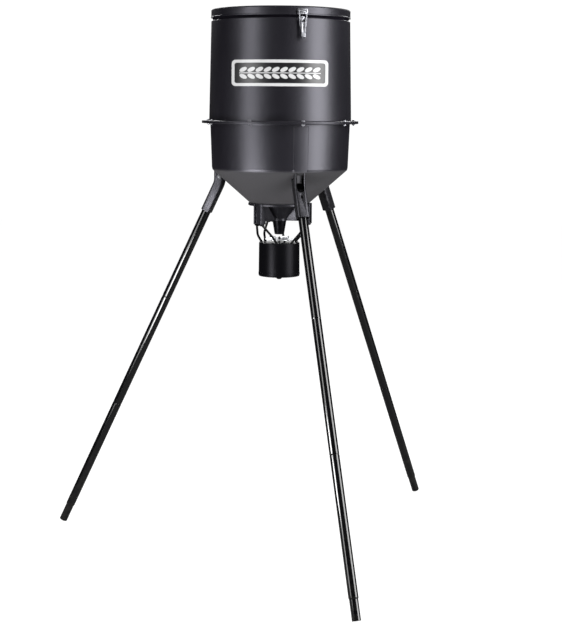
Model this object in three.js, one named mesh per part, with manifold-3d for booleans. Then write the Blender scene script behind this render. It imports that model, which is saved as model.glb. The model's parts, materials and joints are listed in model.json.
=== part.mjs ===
// Spin cast feeder: a barrel hopper on three tube legs, with a battery driven spinner plate under it.
// Millimetres, +Z up. The label faces -Y. The origin is on the ground, at the centre of the footprint.
import * as THREE from 'three';
import { mergeVertices } from 'three/addons/utils/BufferGeometryUtils.js';
import Module from 'manifold-3d';

const wasm = await Module();
wasm.setup();

// ---- Driving dimensions ----

const GAP = 0.3; // clearance left between pieces that touch
const BIG_SIDES = 48; // sides of the hopper and the lid
const UNIT_SIDES = 32; // sides of the outlet and the power unit
const TUBE_SIDES = 12; // sides of the leg tubes
const WIRE_SIDES = 6; // sides of bent wires

// Azimuths are in degrees about +Z, from -Y towards +X.
const FIRST_LEG = 17.16;
const LEG_COUNT = 3;
const LEG_STEP = 360 / LEG_COUNT;
const POST_OFFSET = 60; // the outlet posts stand between the legs
const LATCHES = { front: FIRST_LEG, rear: FIRST_LEG + 180 };

const HOPPER = {
  wall: 3.5,
  topRadius: 238.7,
  shoulderZ: 1847,
  neckRadius: 233,
  neckTopZ: 1876,
  neckRun: 9, // height over which the inside widens below the neck
  seamRadius: 246.7,
  seamZ: 1505.5,
  lowerTopRadius: 242.8,
  lowerBottomRadius: 237.3,
  lowerBottomZ: 1350,
  lowerWall: 4.5,
  coneSlope: 0.8833, // height over radius
  coneEndRadius: 105.5,
  coneEndZ: 1226.6,
  coneRise: 6, // thickness of the cone's wall measured upright
  ledgeRadius: 84,
  ledgeThickness: 4.4,
  edge: 3.5, // rounding where the wall meets the cone
};
const FLANGE = { radius: 272, thickness: 4.35, boltCircle: 259, boltCount: 9 };
const POCKET = { width: 52, depth: 2.4, margin: 12 }; // flat on the lower barrel over each leg
const LID = {
  radius: 239,
  skirtZ: 1856,
  topZ: 1885,
  thickness: 3.5,
  rimWidth: 23,
  dish: 2.5,
  edge: 5,
};
const LABEL = { width: 321, height: 86, centreZ: 1668, shiftX: -1.5, corner: 13, thickness: 0.8 };

const BOLT = { radius: 2.9, hole: 3.3, head: 5.8, headHeight: 4, tail: 3 };
const LUG = {
  thickness: 16,
  bottomZ: 1304.5,
  outerRadius: 224,
  embed: 2.5, // how far it reaches into the cone's wall
};
const CROSS_BOLT = { reach: 214, z: 1314, length: 49 };

const LEG = {
  radius: 15.9,
  wall: 1.2,
  section: 448.5, // from the top of one tube to the top of the next
  swage: 66, // length of the narrowed end
  swageRadius: 14.3,
  taper: 4.5,
  tilt: THREE.MathUtils.degToRad(25.57),
  groundReach: 836.4, // distance of the leg's axis from the hopper's axis at ground level
};
const BRACKET = {
  width: 41,
  depth: 36,
  corner: 10,
  wall: 1.6,
  topZ: 1345,
  bottomZ: 1191,
  reach: 217.2, // distance of its upright part from the hopper's axis
  windowWidth: 26,
  windowBottomZ: 1277,
  slotZ: 1263,
  slotRadii: [3.2, 6],
  frontOffset: 8, // the window and the slot are cut from here outwards
};

const COLLAR = {
  flangeRadius: 110,
  flangeZ: 1217,
  topZ: 1226.2,
  hubRadius: 27,
  hubZ: 1163,
  socketZ: 1177,
  coneRadius: 62,
  throat: 21,
  wall: 4.4,
  webThickness: 7,
};
const POST = { reach: 101, width: 38, depth: 24, corner: 6, bottomZ: 1155 };
const HANGER = {
  padLength: 20,
  padWidth: 34,
  padThickness: 4,
  wire: 4,
  topSpread: 13, // half distance between the two wires at the pad
  knee: { reach: 75, spread: 34, drop: 0.6 },
  footInset: 6.5, // from the power unit's top edge
  footAngle: THREE.MathUtils.degToRad(34),
  footRadius: 5,
  footHeight: 5,
};
const SPOUT = { topRadius: 24.5, bottomRadius: 16.6, wall: 2.4, bottomZ: 1115, sides: 24 };

const UNIT = {
  radius: 73,
  topRadius: 71.5,
  wall: 2.5,
  bottomZ: 973.3,
  topZ: 1087,
  lidThickness: 3,
  shaftHole: 5.5,
};
const CAP = {
  radius: 72.3,
  bottomZ: 968,
  rimZ: 973,
  plugRadius: 69.7,
  plugZ: 980,
  thickness: 3.5,
  hole: 4.2,
};
const KNOB = {
  radius: 13,
  tipRadius: 6,
  tipZ: 955,
  shoulderZ: 961,
  stem: 3.8,
  dogLength: 24,
  dogWidth: 6,
  dogHeight: 3,
};
const MOTOR = {
  radius: 14,
  bottomZ: 1046,
  topZ: 1083.7,
  leadZ: 1067,
};
const SHAFT = { radius: 3, bottomZ: 1057, topZ: 1106 };
const SPINNER = {
  radius: 50,
  z: 1097,
  thickness: 1.6,
  hubRadius: 9,
  hubHeight: 5,
  vanes: 4,
  vaneHeight: 7,
  vaneStart: 14,
};
const BATTERY = {
  length: 107,
  width: 70,
  height: 47,
  z: 996,
  lidHeight: 3,
  lidInset: 2,
};
const TIMER = { shelfRadius: 68.1, shelfZ: 993, shelf: 2.5, width: 64, depth: 44, faceZ: 981.5 };
const DISPLAY = { width: 36, lowY: 2, highY: 16, recess: 1.5 };
const LEAD = { wire: 1.5, outY: 42, downY: 46, bend: 10 };
const BUTTONS = {
  names: ['button_set', 'button_mode', 'button_test'],
  pitch: 16,
  radius: 4,
  height: 3.6,
  proud: 1.5, // how far they stand out of the timer's face
  y: -10,
};

// The latch stands on the hopper's wall: r is the distance from the hopper's axis.
const LATCH = {
  wallRadius: 240,
  pivotR: 248,
  pivotZ: 1837,
  pinRadius: 2,
  pinHole: 2.3,
  pinLength: 17.2,
  sheet: 1.6,
};
const STRIKE = {
  width: 37,
  height: 17.5,
  corner: 5,
  centreZ: 1867.3,
  shelfZ: 1863,
  lipHalf: 12,
  lipHeight: 4.5,
  bailGap: 0.4, // clearance between its lip and the bail
};
const LATCH_BASE = {
  width: 18,
  height: 50,
  corner: 4,
  centreZ: 1826,
  earInner: 4.4,
  earOuter: 5.8,
  earRadius: 3.4,
};
const LEVER = {
  half: 7.5,
  wall: 1.2,
  front: 5.1, // from the pin's axis to its outer face
  eyeRadius: 4.6,
  webLowZ: 1786,
  cheekLowZ: 1808,
  tabReach: 7,
  tabZ: 1780.5,
};
const BAIL = {
  r: 247.5,
  z: 1817,
  topZ: 1869,
  wire: 1.6,
  hole: 2.2,
  end: 5,
  foot: 9.6,
  shoulder: 13.5,
  bend: 2.2,
};

// ---- Shapes to solids ----

// A closed three.js geometry as a manifold solid, without the slivers that an axis leaves behind.
function solidOf(geometry) {
  const bare = geometry.clone();
  bare.deleteAttribute('normal');
  bare.deleteAttribute('uv');
  const merged = mergeVertices(bare, 1e-3);
  const corners = merged.index.array;
  const faces = [];
  for (let i = 0; i < corners.length; i += 3) {
    const [a, b, c] = corners.slice(i, i + 3);
    if (a !== b && b !== c && c !== a) faces.push(a, b, c);
  }
  const vertProperties = merged.attributes.position.array;
  const triVerts = new Uint32Array(faces);
  return new wasm.Manifold(new wasm.Mesh({ numProp: 3, vertProperties, triVerts }));
}

function geometryOf(solid) {
  const mesh = solid.getMesh();
  const geometry = new THREE.BufferGeometry();
  geometry.setAttribute('position', new THREE.BufferAttribute(new Float32Array(mesh.vertProperties), 3));
  geometry.setIndex(new THREE.BufferAttribute(new Uint32Array(mesh.triVerts), 1));
  const flat = geometry.toNonIndexed();
  flat.computeVertexNormals();
  return flat;
}

const join = (solids) => solids.reduce((whole, next) => whole.add(next));
const cut = (solid, tools) => tools.reduce((rest, tool) => rest.subtract(tool), solid);

// An anticlockwise profile of [radius, height] points, turned about the Z axis.
function turned(profile, sides = BIG_SIDES) {
  const points = profile.map(([r, z]) => new THREE.Vector2(r, z));
  points.push(points[0].clone());
  return solidOf(new THREE.LatheGeometry(points, sides).rotateX(Math.PI / 2));
}

// A box given by its lowest and highest corners.
function boxGeometry(low, high) {
  const size = high.map((v, i) => v - low[i]);
  const centre = high.map((v, i) => (v + low[i]) / 2);
  return new THREE.BoxGeometry(...size).translate(...centre);
}
const block = (low, high) => solidOf(boxGeometry(low, high));

// An upright cylinder, or a hexagon with six sides, that starts at height z.
function rodGeometry(radius, length, sides, x = 0, y = 0, z = 0) {
  const geometry = new THREE.CylinderGeometry(radius, radius, length, sides);
  return geometry.rotateX(Math.PI / 2).translate(x, y, z + length / 2);
}
const rod = (...dimensions) => solidOf(rodGeometry(...dimensions));

// A cylinder along Y, centred on y = 0.
function crossRod(radius, length, sides, x, z) {
  return solidOf(new THREE.CylinderGeometry(radius, radius, length, sides).translate(x, 0, z));
}

function polygon(points) {
  return new THREE.Shape(points.map(([x, y]) => new THREE.Vector2(x, y)));
}

function roundedRectangle(width, height, corner) {
  const x = width / 2 - corner;
  const y = height / 2 - corner;
  const shape = new THREE.Shape();
  shape.absarc(x, y, corner, 0, Math.PI / 2);
  shape.absarc(-x, y, corner, Math.PI / 2, Math.PI);
  shape.absarc(-x, -y, corner, Math.PI, Math.PI * 1.5);
  shape.absarc(x, -y, corner, Math.PI * 1.5, Math.PI * 2);
  return shape;
}

// Each corner or arc of the shape becomes twice curveSegments facets.
function prismGeometry(shape, depth, curveSegments = 2) {
  return new THREE.ExtrudeGeometry(shape, { depth, bevelEnabled: false, curveSegments });
}

// A shape drawn in X and Z, extruded along Y and centred on y = 0.
function sidePrism(shape, depth, curveSegments) {
  const geometry = prismGeometry(shape, depth, curveSegments);
  return solidOf(geometry.translate(0, 0, -depth / 2).rotateX(Math.PI / 2));
}

// A shape drawn in Y and Z, extruded along X from x = start.
function frontPrism(shape, start, depth, curveSegments) {
  const geometry = prismGeometry(shape, depth, curveSegments);
  return solidOf(geometry.rotateX(Math.PI / 2).rotateZ(Math.PI / 2).translate(start, 0, 0));
}

// A path through corner points, each corner eased over the distance bend.
function easedPath(points, bend) {
  const corners = points.map((p) => new THREE.Vector3(...p));
  const path = new THREE.CurvePath();
  let from = corners[0];
  for (let i = 1; i < corners.length - 1; i++) {
    const before = corners[i].clone().lerp(corners[i - 1], bend / corners[i].distanceTo(corners[i - 1]));
    const after = corners[i].clone().lerp(corners[i + 1], bend / corners[i].distanceTo(corners[i + 1]));
    path.add(new THREE.LineCurve3(from, before));
    path.add(new THREE.QuadraticBezierCurve3(before, corners[i], after));
    from = after;
  }
  path.add(new THREE.LineCurve3(from, corners[corners.length - 1]));
  return path;
}

function swept(shape, path, steps, curveSegments = 3) {
  const options = { steps, extrudePath: path, curveSegments };
  return solidOf(new THREE.ExtrudeGeometry(shape, options));
}

function wire(points, radius, bend, steps) {
  const ring = [...Array(WIRE_SIDES).keys()].map((i) => {
    const angle = (2 * Math.PI * i) / WIRE_SIDES;
    return [radius * Math.cos(angle), radius * Math.sin(angle)];
  });
  return swept(polygon(ring), easedPath(points, bend), steps);
}

// ---- Places ----

const radians = THREE.MathUtils.degToRad;
const legAzimuths = [...Array(LEG_COUNT).keys()].map((i) => FIRST_LEG + i * LEG_STEP);
const postAzimuths = legAzimuths.map((azimuth) => azimuth + POST_OFFSET);
const boltStep = 360 / FLANGE.boltCount;
const boltAzimuths = [...Array(FLANGE.boltCount).keys()].map((i) => FIRST_LEG + i * boltStep);

// Turns a geometry whose +X points away from the hopper's axis to an azimuth.
const turnTo = (geometry, azimuth) => geometry.rotateZ(radians(azimuth - 90));

// A group whose +X points away from the hopper's axis at an azimuth.
function station(azimuth, parent) {
  const group = new THREE.Group();
  group.rotation.z = radians(azimuth - 90);
  parent.add(group);
  return group;
}

function place(name, solid, material, parent) {
  const mesh = new THREE.Mesh(geometryOf(solid), material);
  mesh.name = name;
  parent.add(mesh);
  return mesh;
}

// ---- Materials ----

function finish(color, roughness, metalness) {
  return new THREE.MeshStandardMaterial({ color, roughness, metalness });
}

const barrelPlastic = () => finish(0x1b1b1e, 0.5, 0);
const conePlastic = () => finish(0x2c2c2e, 0.6, 0);
const legPaint = () => finish(0x0c0c0d, 0.25, 0.3);
const bracketPaint = () => finish(0x18181a, 0.6, 0.2);
const zinc = () => finish(0xc4c6c8, 0.3, 1);
const galvanised = () => finish(0xb9bcbe, 0.4, 1);
const unitPlastic = () => finish(0x101012, 0.4, 0);
const labelFilm = () => finish(0xf2f2f0, 0.45, 0);
const gasketRubber = () => finish(0x222222, 0.9, 0);
const darkSteel = () => finish(0x55585b, 0.4, 1);
const batteryCase = () => finish(0x2d3a33, 0.6, 0);
const timerCase = () => finish(0x3a3c3e, 0.6, 0);
const displayGlass = () => finish(0x9aa58c, 0.15, 0);
const buttonRubber = () => finish(0x8a8f94, 0.8, 0);
const cableSheath = () => finish(0x8c1f1a, 0.6, 0);

// ---- Hopper ----

const coneZ = (radius) => HOPPER.coneEndZ + (radius - HOPPER.coneEndRadius) * HOPPER.coneSlope;

function flangeHoles() {
  const { seamZ } = HOPPER;
  const length = 4 * FLANGE.thickness;
  return boltAzimuths.map((azimuth) => {
    const hole = rodGeometry(BOLT.hole, length, 8, FLANGE.boltCircle, 0, seamZ - length / 2);
    return solidOf(turnTo(hole, azimuth));
  });
}

function upperBarrel() {
  const { wall, topRadius, shoulderZ, neckRadius, neckTopZ, neckRun, seamRadius, seamZ } = HOPPER;
  const bottomZ = seamZ + GAP / 2;
  const shell = turned([
    [seamRadius - wall, bottomZ],
    [FLANGE.radius, bottomZ],
    [FLANGE.radius, bottomZ + FLANGE.thickness],
    [seamRadius, bottomZ + FLANGE.thickness],
    [topRadius, shoulderZ],
    [neckRadius, shoulderZ],
    [neckRadius, neckTopZ],
    [neckRadius - wall, neckTopZ],
    [neckRadius - wall, shoulderZ - wall],
    [topRadius - wall, shoulderZ - neckRun],
  ]);
  return cut(shell, flangeHoles());
}

// Flats moulded into the lower barrel's wall, one over each leg.
function pockets() {
  const { lowerTopRadius, lowerBottomRadius, lowerBottomZ, seamZ } = HOPPER;
  const topZ = seamZ - POCKET.margin;
  const bottomZ = lowerBottomZ - POCKET.margin;
  const half = POCKET.width / 2;
  const side = polygon([
    [lowerBottomRadius - POCKET.depth, bottomZ],
    [FLANGE.radius, bottomZ],
    [FLANGE.radius, topZ],
    [lowerTopRadius - POCKET.depth, topZ],
  ]);
  return legAzimuths.map((azimuth) => {
    const geometry = prismGeometry(side, 2 * half).translate(0, 0, -half).rotateX(Math.PI / 2);
    return solidOf(turnTo(geometry, azimuth));
  });
}

// Lugs under the cone that the leg brackets are bolted to.
function lugs() {
  const half = LUG.thickness / 2;
  const { embed } = LUG;
  const innerRadius = HOPPER.coneEndRadius + (LUG.bottomZ - embed - HOPPER.coneEndZ) / HOPPER.coneSlope;
  const side = polygon([
    [innerRadius, LUG.bottomZ],
    [LUG.outerRadius, LUG.bottomZ],
    [LUG.outerRadius, coneZ(LUG.outerRadius) + embed],
  ]);
  return legAzimuths.map((azimuth) => {
    const geometry = prismGeometry(side, 2 * half).translate(0, 0, -half).rotateX(Math.PI / 2);
    return solidOf(turnTo(geometry, azimuth));
  });
}

function crossBoltHoles() {
  return legAzimuths.map((azimuth) => {
    const geometry = new THREE.CylinderGeometry(BOLT.hole, BOLT.hole, 2 * LUG.thickness, 8);
    return solidOf(turnTo(geometry.translate(CROSS_BOLT.reach, 0, CROSS_BOLT.z), azimuth));
  });
}

function lowerBarrel() {
  const { lowerTopRadius, lowerBottomRadius, lowerBottomZ, lowerWall, seamZ } = HOPPER;
  const { coneEndRadius, coneEndZ, coneSlope, coneRise, ledgeRadius, ledgeThickness, edge } = HOPPER;
  const topZ = seamZ - GAP / 2;
  const ledgeTopZ = coneEndZ + ledgeThickness;
  const shell = turned([
    [ledgeRadius, coneEndZ],
    [coneEndRadius, coneEndZ],
    [lowerBottomRadius - edge, coneZ(lowerBottomRadius - edge)],
    [lowerBottomRadius - 0.25 * edge, lowerBottomZ - edge],
    [lowerBottomRadius, lowerBottomZ],
    [lowerTopRadius, topZ - FLANGE.thickness],
    [FLANGE.radius, topZ - FLANGE.thickness],
    [FLANGE.radius, topZ],
    [lowerTopRadius - lowerWall, topZ],
    [lowerBottomRadius - lowerWall, coneZ(lowerBottomRadius - lowerWall) + coneRise],
    [coneEndRadius + (ledgeThickness - coneRise) / coneSlope, ledgeTopZ],
    [ledgeRadius, ledgeTopZ],
  ]);
  const tools = [...flangeHoles(), ...pockets(), ...crossBoltHoles()];
  return cut(join([shell, ...lugs()]), tools);
}

function lid() {
  const { radius, skirtZ, topZ, thickness, rimWidth, dish, edge } = LID;
  const inside = radius - thickness;
  const rimInner = radius - rimWidth;
  return turned([
    [inside, skirtZ],
    [radius, skirtZ],
    [radius, topZ - edge],
    [radius - 0.3 * edge, topZ - 0.3 * edge],
    [radius - edge, topZ],
    [rimInner, topZ],
    [rimInner - dish, topZ - dish],
    [0, topZ - dish],
    [0, topZ - dish - thickness],
    [rimInner - dish - 1, topZ - dish - thickness],
    [rimInner - 1, topZ - thickness],
    [inside, topZ - thickness],
  ]);
}

function lidGasket() {
  const outer = HOPPER.neckRadius;
  const inner = outer - 2 * HOPPER.wall;
  const bottomZ = HOPPER.neckTopZ + GAP;
  const topZ = LID.topZ - LID.thickness - GAP;
  return turned([[inner, bottomZ], [outer, bottomZ], [outer, topZ], [inner, topZ]]);
}

// A thin skin that follows the barrel, trimmed to a rounded rectangle seen from the front.
function frontLabel() {
  const { seamRadius, topRadius, seamZ, shoulderZ } = HOPPER;
  const { width, height, centreZ, shiftX, corner, thickness } = LABEL;
  const wallRadius = (z) => seamRadius + ((topRadius - seamRadius) * (z - seamZ)) / (shoulderZ - seamZ);
  const lowZ = centreZ - height;
  const highZ = centreZ + height;
  const skin = turned([
    [wallRadius(lowZ) + GAP, lowZ],
    [wallRadius(lowZ) + GAP + thickness, lowZ],
    [wallRadius(highZ) + GAP + thickness, highZ],
    [wallRadius(highZ) + GAP, highZ],
  ]);
  const outline = prismGeometry(roundedRectangle(width, height, corner), FLANGE.radius, 2);
  return skin.intersect(solidOf(outline.rotateX(Math.PI / 2).translate(shiftX, 0, centreZ)));
}

function flangeBolt() {
  const under = HOPPER.seamZ - GAP / 2 - FLANGE.thickness - GAP;
  const over = HOPPER.seamZ + GAP / 2 + FLANGE.thickness + GAP;
  const reach = FLANGE.boltCircle;
  const { radius, head, headHeight, tail } = BOLT;
  const bottomZ = under - headHeight - tail;
  return join([
    rod(radius, over + 1 - bottomZ, 8, reach, 0, bottomZ),
    rod(head, headHeight, 6, reach, 0, over),
    rod(head, headHeight, 6, reach, 0, under - headHeight),
  ]);
}

function addHopper(parent) {
  place('upper_barrel', upperBarrel(), barrelPlastic(), parent);
  place('lower_barrel', lowerBarrel(), conePlastic(), parent);
  place('lid', lid(), barrelPlastic(), parent);
  place('lid_gasket', lidGasket(), gasketRubber(), parent);
  place('front_label', frontLabel(), labelFilm(), parent);
  boltAzimuths.forEach((azimuth, i) => {
    place(`flange_bolt_${i + 1}`, flangeBolt(), zinc(), station(azimuth, parent));
  });
}

// ---- Draw latches ----

// An upright plate with rounded corners that faces outwards.
function wallPlate({ width, height, corner, centreZ }, back, thickness) {
  const outline = prismGeometry(roundedRectangle(width, height, corner), thickness);
  return solidOf(outline.rotateX(Math.PI / 2).rotateZ(Math.PI / 2).translate(back, 0, centreZ));
}

// A plate across Y with a round eye about the pin, on one side or the other.
function eyePlate(side, inner, outer, radius, sides, plate) {
  const [low, high] = [side * inner, side * outer].sort((a, b) => a - b);
  const eye = new THREE.CylinderGeometry(radius, radius, high - low, sides);
  const solid = solidOf(eye.translate(LATCH.pivotR, (low + high) / 2, LATCH.pivotZ));
  return solid.add(plate(low, high));
}

function latchStrike() {
  const { shelfZ, lipHalf, lipHeight, bailGap } = STRIKE;
  const { sheet } = LATCH;
  const back = LID.radius + GAP;
  const inner = back + sheet / 2;
  const lipEnd = BAIL.r - BAIL.wire - bailGap;
  return join([
    wallPlate(STRIKE, back, sheet),
    block([inner, -lipHalf, shelfZ], [lipEnd, lipHalf, shelfZ + sheet]),
    block([lipEnd - sheet, -lipHalf, shelfZ], [lipEnd, lipHalf, shelfZ + lipHeight]),
  ]);
}

function latchBase() {
  const { pivotR, pivotZ, pinHole, sheet } = LATCH;
  const { earInner, earOuter, earRadius, width } = LATCH_BASE;
  const back = LATCH.wallRadius + 2 * GAP;
  const inner = back + sheet / 2;
  const ears = [-1, 1].map((side) =>
    eyePlate(side, earInner, earOuter, earRadius, 10, (low, high) =>
      block([inner, low, pivotZ - earRadius], [pivotR, high, pivotZ + earRadius]),
    ),
  );
  const hole = crossRod(pinHole, width, 10, pivotR, pivotZ);
  return cut(join([wallPlate(LATCH_BASE, back, sheet), ...ears]), [hole]);
}

function latchPin() {
  return crossRod(LATCH.pinRadius, LATCH.pinLength, 10, LATCH.pivotR, LATCH.pivotZ);
}

function latchLever() {
  const { pivotR, pivotZ, pinHole } = LATCH;
  const { half, wall, eyeRadius, webLowZ, cheekLowZ, tabReach, tabZ } = LEVER;
  const front = pivotR + LEVER.front;
  const back = front - wall;
  const web = block([back, -half, webLowZ], [front, half, pivotZ - eyeRadius]);
  const cheeks = [-1, 1].map((side) =>
    eyePlate(side, half - wall, half, eyeRadius, 12, (low, high) =>
      block([pivotR - eyeRadius / 2, low, cheekLowZ], [front, high, pivotZ]),
    ),
  );
  const tabTopZ = webLowZ + 2 * wall;
  const tab = polygon([
    [back, tabTopZ],
    [back, webLowZ - wall],
    [back + tabReach, tabZ],
    [back + tabReach + wall, tabZ + wall],
    [front, webLowZ + wall],
    [front, tabTopZ],
  ]);
  const holes = [
    crossRod(pinHole, 3 * half, 10, pivotR, pivotZ),
    crossRod(BAIL.hole, 3 * half, 8, BAIL.r, BAIL.z),
  ];
  return cut(join([web, ...cheeks, sidePrism(tab, 2 * half - 1)]), holes);
}

function latchBail() {
  const { r, z, topZ, end, foot, shoulder, bend } = BAIL;
  const side = [[end, z], [foot, z], [shoulder, topZ]];
  const points = [
    ...side.map(([y, height]) => [r, -y, height]),
    ...side.reverse().map(([y, height]) => [r, y, height]),
  ];
  return wire(points, BAIL.wire, bend, 26);
}

function addLatch(side, azimuth, parent) {
  const group = station(azimuth, parent);
  place(`${side}_latch_strike`, latchStrike(), zinc(), group);
  place(`${side}_latch_base`, latchBase(), zinc(), group);
  place(`${side}_latch_pin`, latchPin(), darkSteel(), group);
  place(`${side}_latch_lever`, latchLever(), zinc(), group);
  place(`${side}_latch_bail`, latchBail(), zinc(), group);
}

// ---- Stand ----

// The axis of a leg at height z, as its distance from the hopper's axis.
const legReach = (z) => LEG.groundReach - z * Math.tan(LEG.tilt);

// The middle of the foot's end face, low enough that its inner edge touches the ground.
const footZ = LEG.swageRadius * Math.sin(LEG.tilt);
const legLength = LEG.section * 3 + LEG.swage;
const legTopZ = footZ + legLength * Math.cos(LEG.tilt);

function legTube() {
  const { radius, wall, section, swage, swageRadius, taper } = LEG;
  const bodyEnd = -(section - GAP);
  const end = -(section + swage);
  return turned(
    [
      [swageRadius - wall, end],
      [swageRadius, end],
      [swageRadius, bodyEnd - 1],
      [radius, bodyEnd + taper - 1],
      [radius, 0],
      [radius - wall, 0],
      [radius - wall, bodyEnd + taper - 2],
      [swageRadius - wall, bodyEnd - 2],
    ],
    TUBE_SIDES,
  );
}

// The space that the hopper's cone takes, with clearance, as a solid.
function coneClearance() {
  const margin = 1;
  const bottomRadius = HOPPER.coneEndRadius + margin;
  const topRadius = HOPPER.lowerBottomRadius + margin;
  return turned([
    [0, COLLAR.flangeZ],
    [bottomRadius, COLLAR.flangeZ],
    [bottomRadius, HOPPER.coneEndZ - margin],
    [topRadius, coneZ(topRadius) - 2 * margin],
    [topRadius, HOPPER.seamZ],
    [0, HOPPER.seamZ],
  ]);
}

// A bent tube along the bracket's axis: an upright part and a part along the leg, mitred where they meet.
function bracketTube(section, extra) {
  const bendZ = (LEG.groundReach - BRACKET.reach) / Math.tan(LEG.tilt);
  const overlap = BRACKET.depth; // length that each part runs past the mitre before it is trimmed
  const span = BRACKET.reach;
  const upright = prismGeometry(section, BRACKET.topZ + extra - bendZ + overlap);
  upright.translate(BRACKET.reach, 0, bendZ - overlap);
  const bottomZ = BRACKET.bottomZ - extra;
  const slant = prismGeometry(section, (bendZ - bottomZ) / Math.cos(LEG.tilt) + overlap);
  slant.rotateY(-LEG.tilt).translate(legReach(bottomZ), 0, bottomZ);
  const half = (low, high) => {
    const geometry = boxGeometry([-span, -span, low], [span, span, high]).rotateY(-LEG.tilt / 2);
    return solidOf(geometry.translate(BRACKET.reach, 0, bendZ));
  };
  const lap = 0.2; // the two parts share this much at the mitre
  return solidOf(upright).intersect(half(-lap, span)).add(solidOf(slant).intersect(half(-span, 0)));
}

function legBracket() {
  const { width, depth, corner, wall, topZ, reach, windowWidth, windowBottomZ, slotZ, slotRadii } = BRACKET;
  const beyond = 12; // how far the hollow and the window run past the ends
  const outer = bracketTube(roundedRectangle(depth, width, corner), 0);
  const inside = roundedRectangle(depth - 2 * wall, width - 2 * wall, corner - wall);
  const window = new THREE.Shape();
  const halfWindow = windowWidth / 2;
  window.absarc(0, windowBottomZ + halfWindow, halfWindow, Math.PI, Math.PI * 2);
  window.lineTo(halfWindow, topZ + beyond);
  window.lineTo(-halfWindow, topZ + beyond);
  const slot = new THREE.Shape();
  slot.absellipse(0, slotZ, ...slotRadii, 0, Math.PI * 2);
  const front = reach + BRACKET.frontOffset;
  const lugHalf = LUG.thickness / 2 + GAP;
  return cut(outer, [
    bracketTube(inside, beyond),
    coneClearance(),
    block([reach - depth, -lugHalf, LUG.bottomZ - GAP], [reach, lugHalf, topZ]),
    crossRod(BOLT.hole, 2 * width, 8, CROSS_BOLT.reach, CROSS_BOLT.z),
    frontPrism(window, front, 2 * depth, 3),
    frontPrism(slot, front, 2 * depth, 3),
  ]);
}

function bracketBolt() {
  const { reach, z } = CROSS_BOLT;
  const { radius, head, headHeight } = BOLT;
  const face = BRACKET.width / 2 + GAP;
  const collar = (start, end) => {
    const geometry = new THREE.CylinderGeometry(head, head, end - start, 6);
    return solidOf(geometry.translate(reach, (start + end) / 2, z));
  };
  return join([
    crossRod(radius, CROSS_BOLT.length, 8, reach, z),
    collar(face, face + headHeight),
    collar(-face - headHeight, -face),
  ]);
}

function addLeg(number, azimuth, parent) {
  const group = station(azimuth, parent);
  place(`leg_bracket_${number}`, legBracket(), bracketPaint(), group);
  place(`bracket_bolt_${number}`, bracketBolt(), darkSteel(), group);
  const axis = new THREE.Group();
  axis.position.set(legReach(legTopZ), 0, legTopZ);
  axis.rotation.y = -LEG.tilt;
  group.add(axis);
  ['upper', 'middle', 'lower'].forEach((level, i) => {
    const tube = place(`leg_${level}_${number}`, legTube(), legPaint(), axis);
    tube.position.z = -i * LEG.section;
  });
}

// ---- Outlet ----

function outletCollar() {
  const { flangeRadius, flangeZ, topZ, hubRadius, hubZ, socketZ } = COLLAR;
  const { coneRadius, throat, wall, webThickness } = COLLAR;
  const profile = [
    [SPOUT.topRadius + GAP, hubZ],
    [hubRadius, hubZ],
    [hubRadius, hubZ + 2 * wall],
    [coneRadius, flangeZ],
    [flangeRadius, flangeZ],
    [flangeRadius, topZ],
    [HOPPER.ledgeRadius - wall, topZ],
    [coneRadius - wall, flangeZ + 1],
    [throat, socketZ],
    [SPOUT.topRadius + GAP, socketZ],
  ];
  const webs = postAzimuths.map((azimuth) => {
    const half = webThickness / 2;
    const web = boxGeometry([hubRadius - 1, -half, hubZ], [POST.reach, half, flangeZ + 1]);
    return solidOf(turnTo(web, azimuth));
  });
  const posts = postAzimuths.map((azimuth) => {
    const outline = roundedRectangle(POST.depth, POST.width, POST.corner);
    const post = prismGeometry(outline, flangeZ + 1 - POST.bottomZ);
    return solidOf(turnTo(post.translate(POST.reach, 0, POST.bottomZ), azimuth));
  });
  return join([turned(profile, UNIT_SIDES), ...webs, ...posts]);
}

function outletSpout() {
  const { topRadius, bottomRadius, wall, bottomZ, sides } = SPOUT;
  const topZ = COLLAR.socketZ - GAP;
  const bore = topRadius - wall - 1;
  const profile = [
    [bottomRadius - wall, bottomZ],
    [bottomRadius, bottomZ],
    [topRadius, COLLAR.hubZ],
    [topRadius, topZ],
    [bore, topZ],
    [bore, COLLAR.hubZ + wall],
  ];
  return turned(profile, sides);
}

// A forked arm from one post to the power unit's top.
function hangerArm() {
  const { padLength, padWidth, padThickness, topSpread, knee } = HANGER;
  const { footInset, footAngle, footRadius, footHeight } = HANGER;
  const padTop = POST.bottomZ - GAP;
  const footZ = UNIT.topZ + GAP;
  const footReach = UNIT.topRadius - footInset;
  const low = [POST.reach - padLength / 2, -padWidth / 2, padTop - padThickness];
  const parts = [block(low, [POST.reach + padLength / 2, padWidth / 2, padTop])];
  for (const side of [-1, 1]) {
    const x = footReach * Math.cos(footAngle);
    const y = side * footReach * Math.sin(footAngle);
    const points = [
      [POST.reach, side * topSpread, padTop - padThickness],
      [knee.reach, side * knee.spread, padTop - knee.drop * (padTop - footZ)],
      [x, y, footZ + footHeight],
    ];
    parts.push(rod(footRadius, footHeight, 10, x, y, footZ));
    parts.push(wire(points, HANGER.wire, footRadius, 8));
  }
  return join(parts);
}

function addOutlet(parent) {
  place('outlet_collar', outletCollar(), unitPlastic(), parent);
  place('outlet_spout', outletSpout(), unitPlastic(), parent);
  postAzimuths.forEach((azimuth, i) => {
    place(`hanger_arm_${i + 1}`, hangerArm(), bracketPaint(), station(azimuth, parent));
  });
}

// ---- Power unit ----

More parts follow.
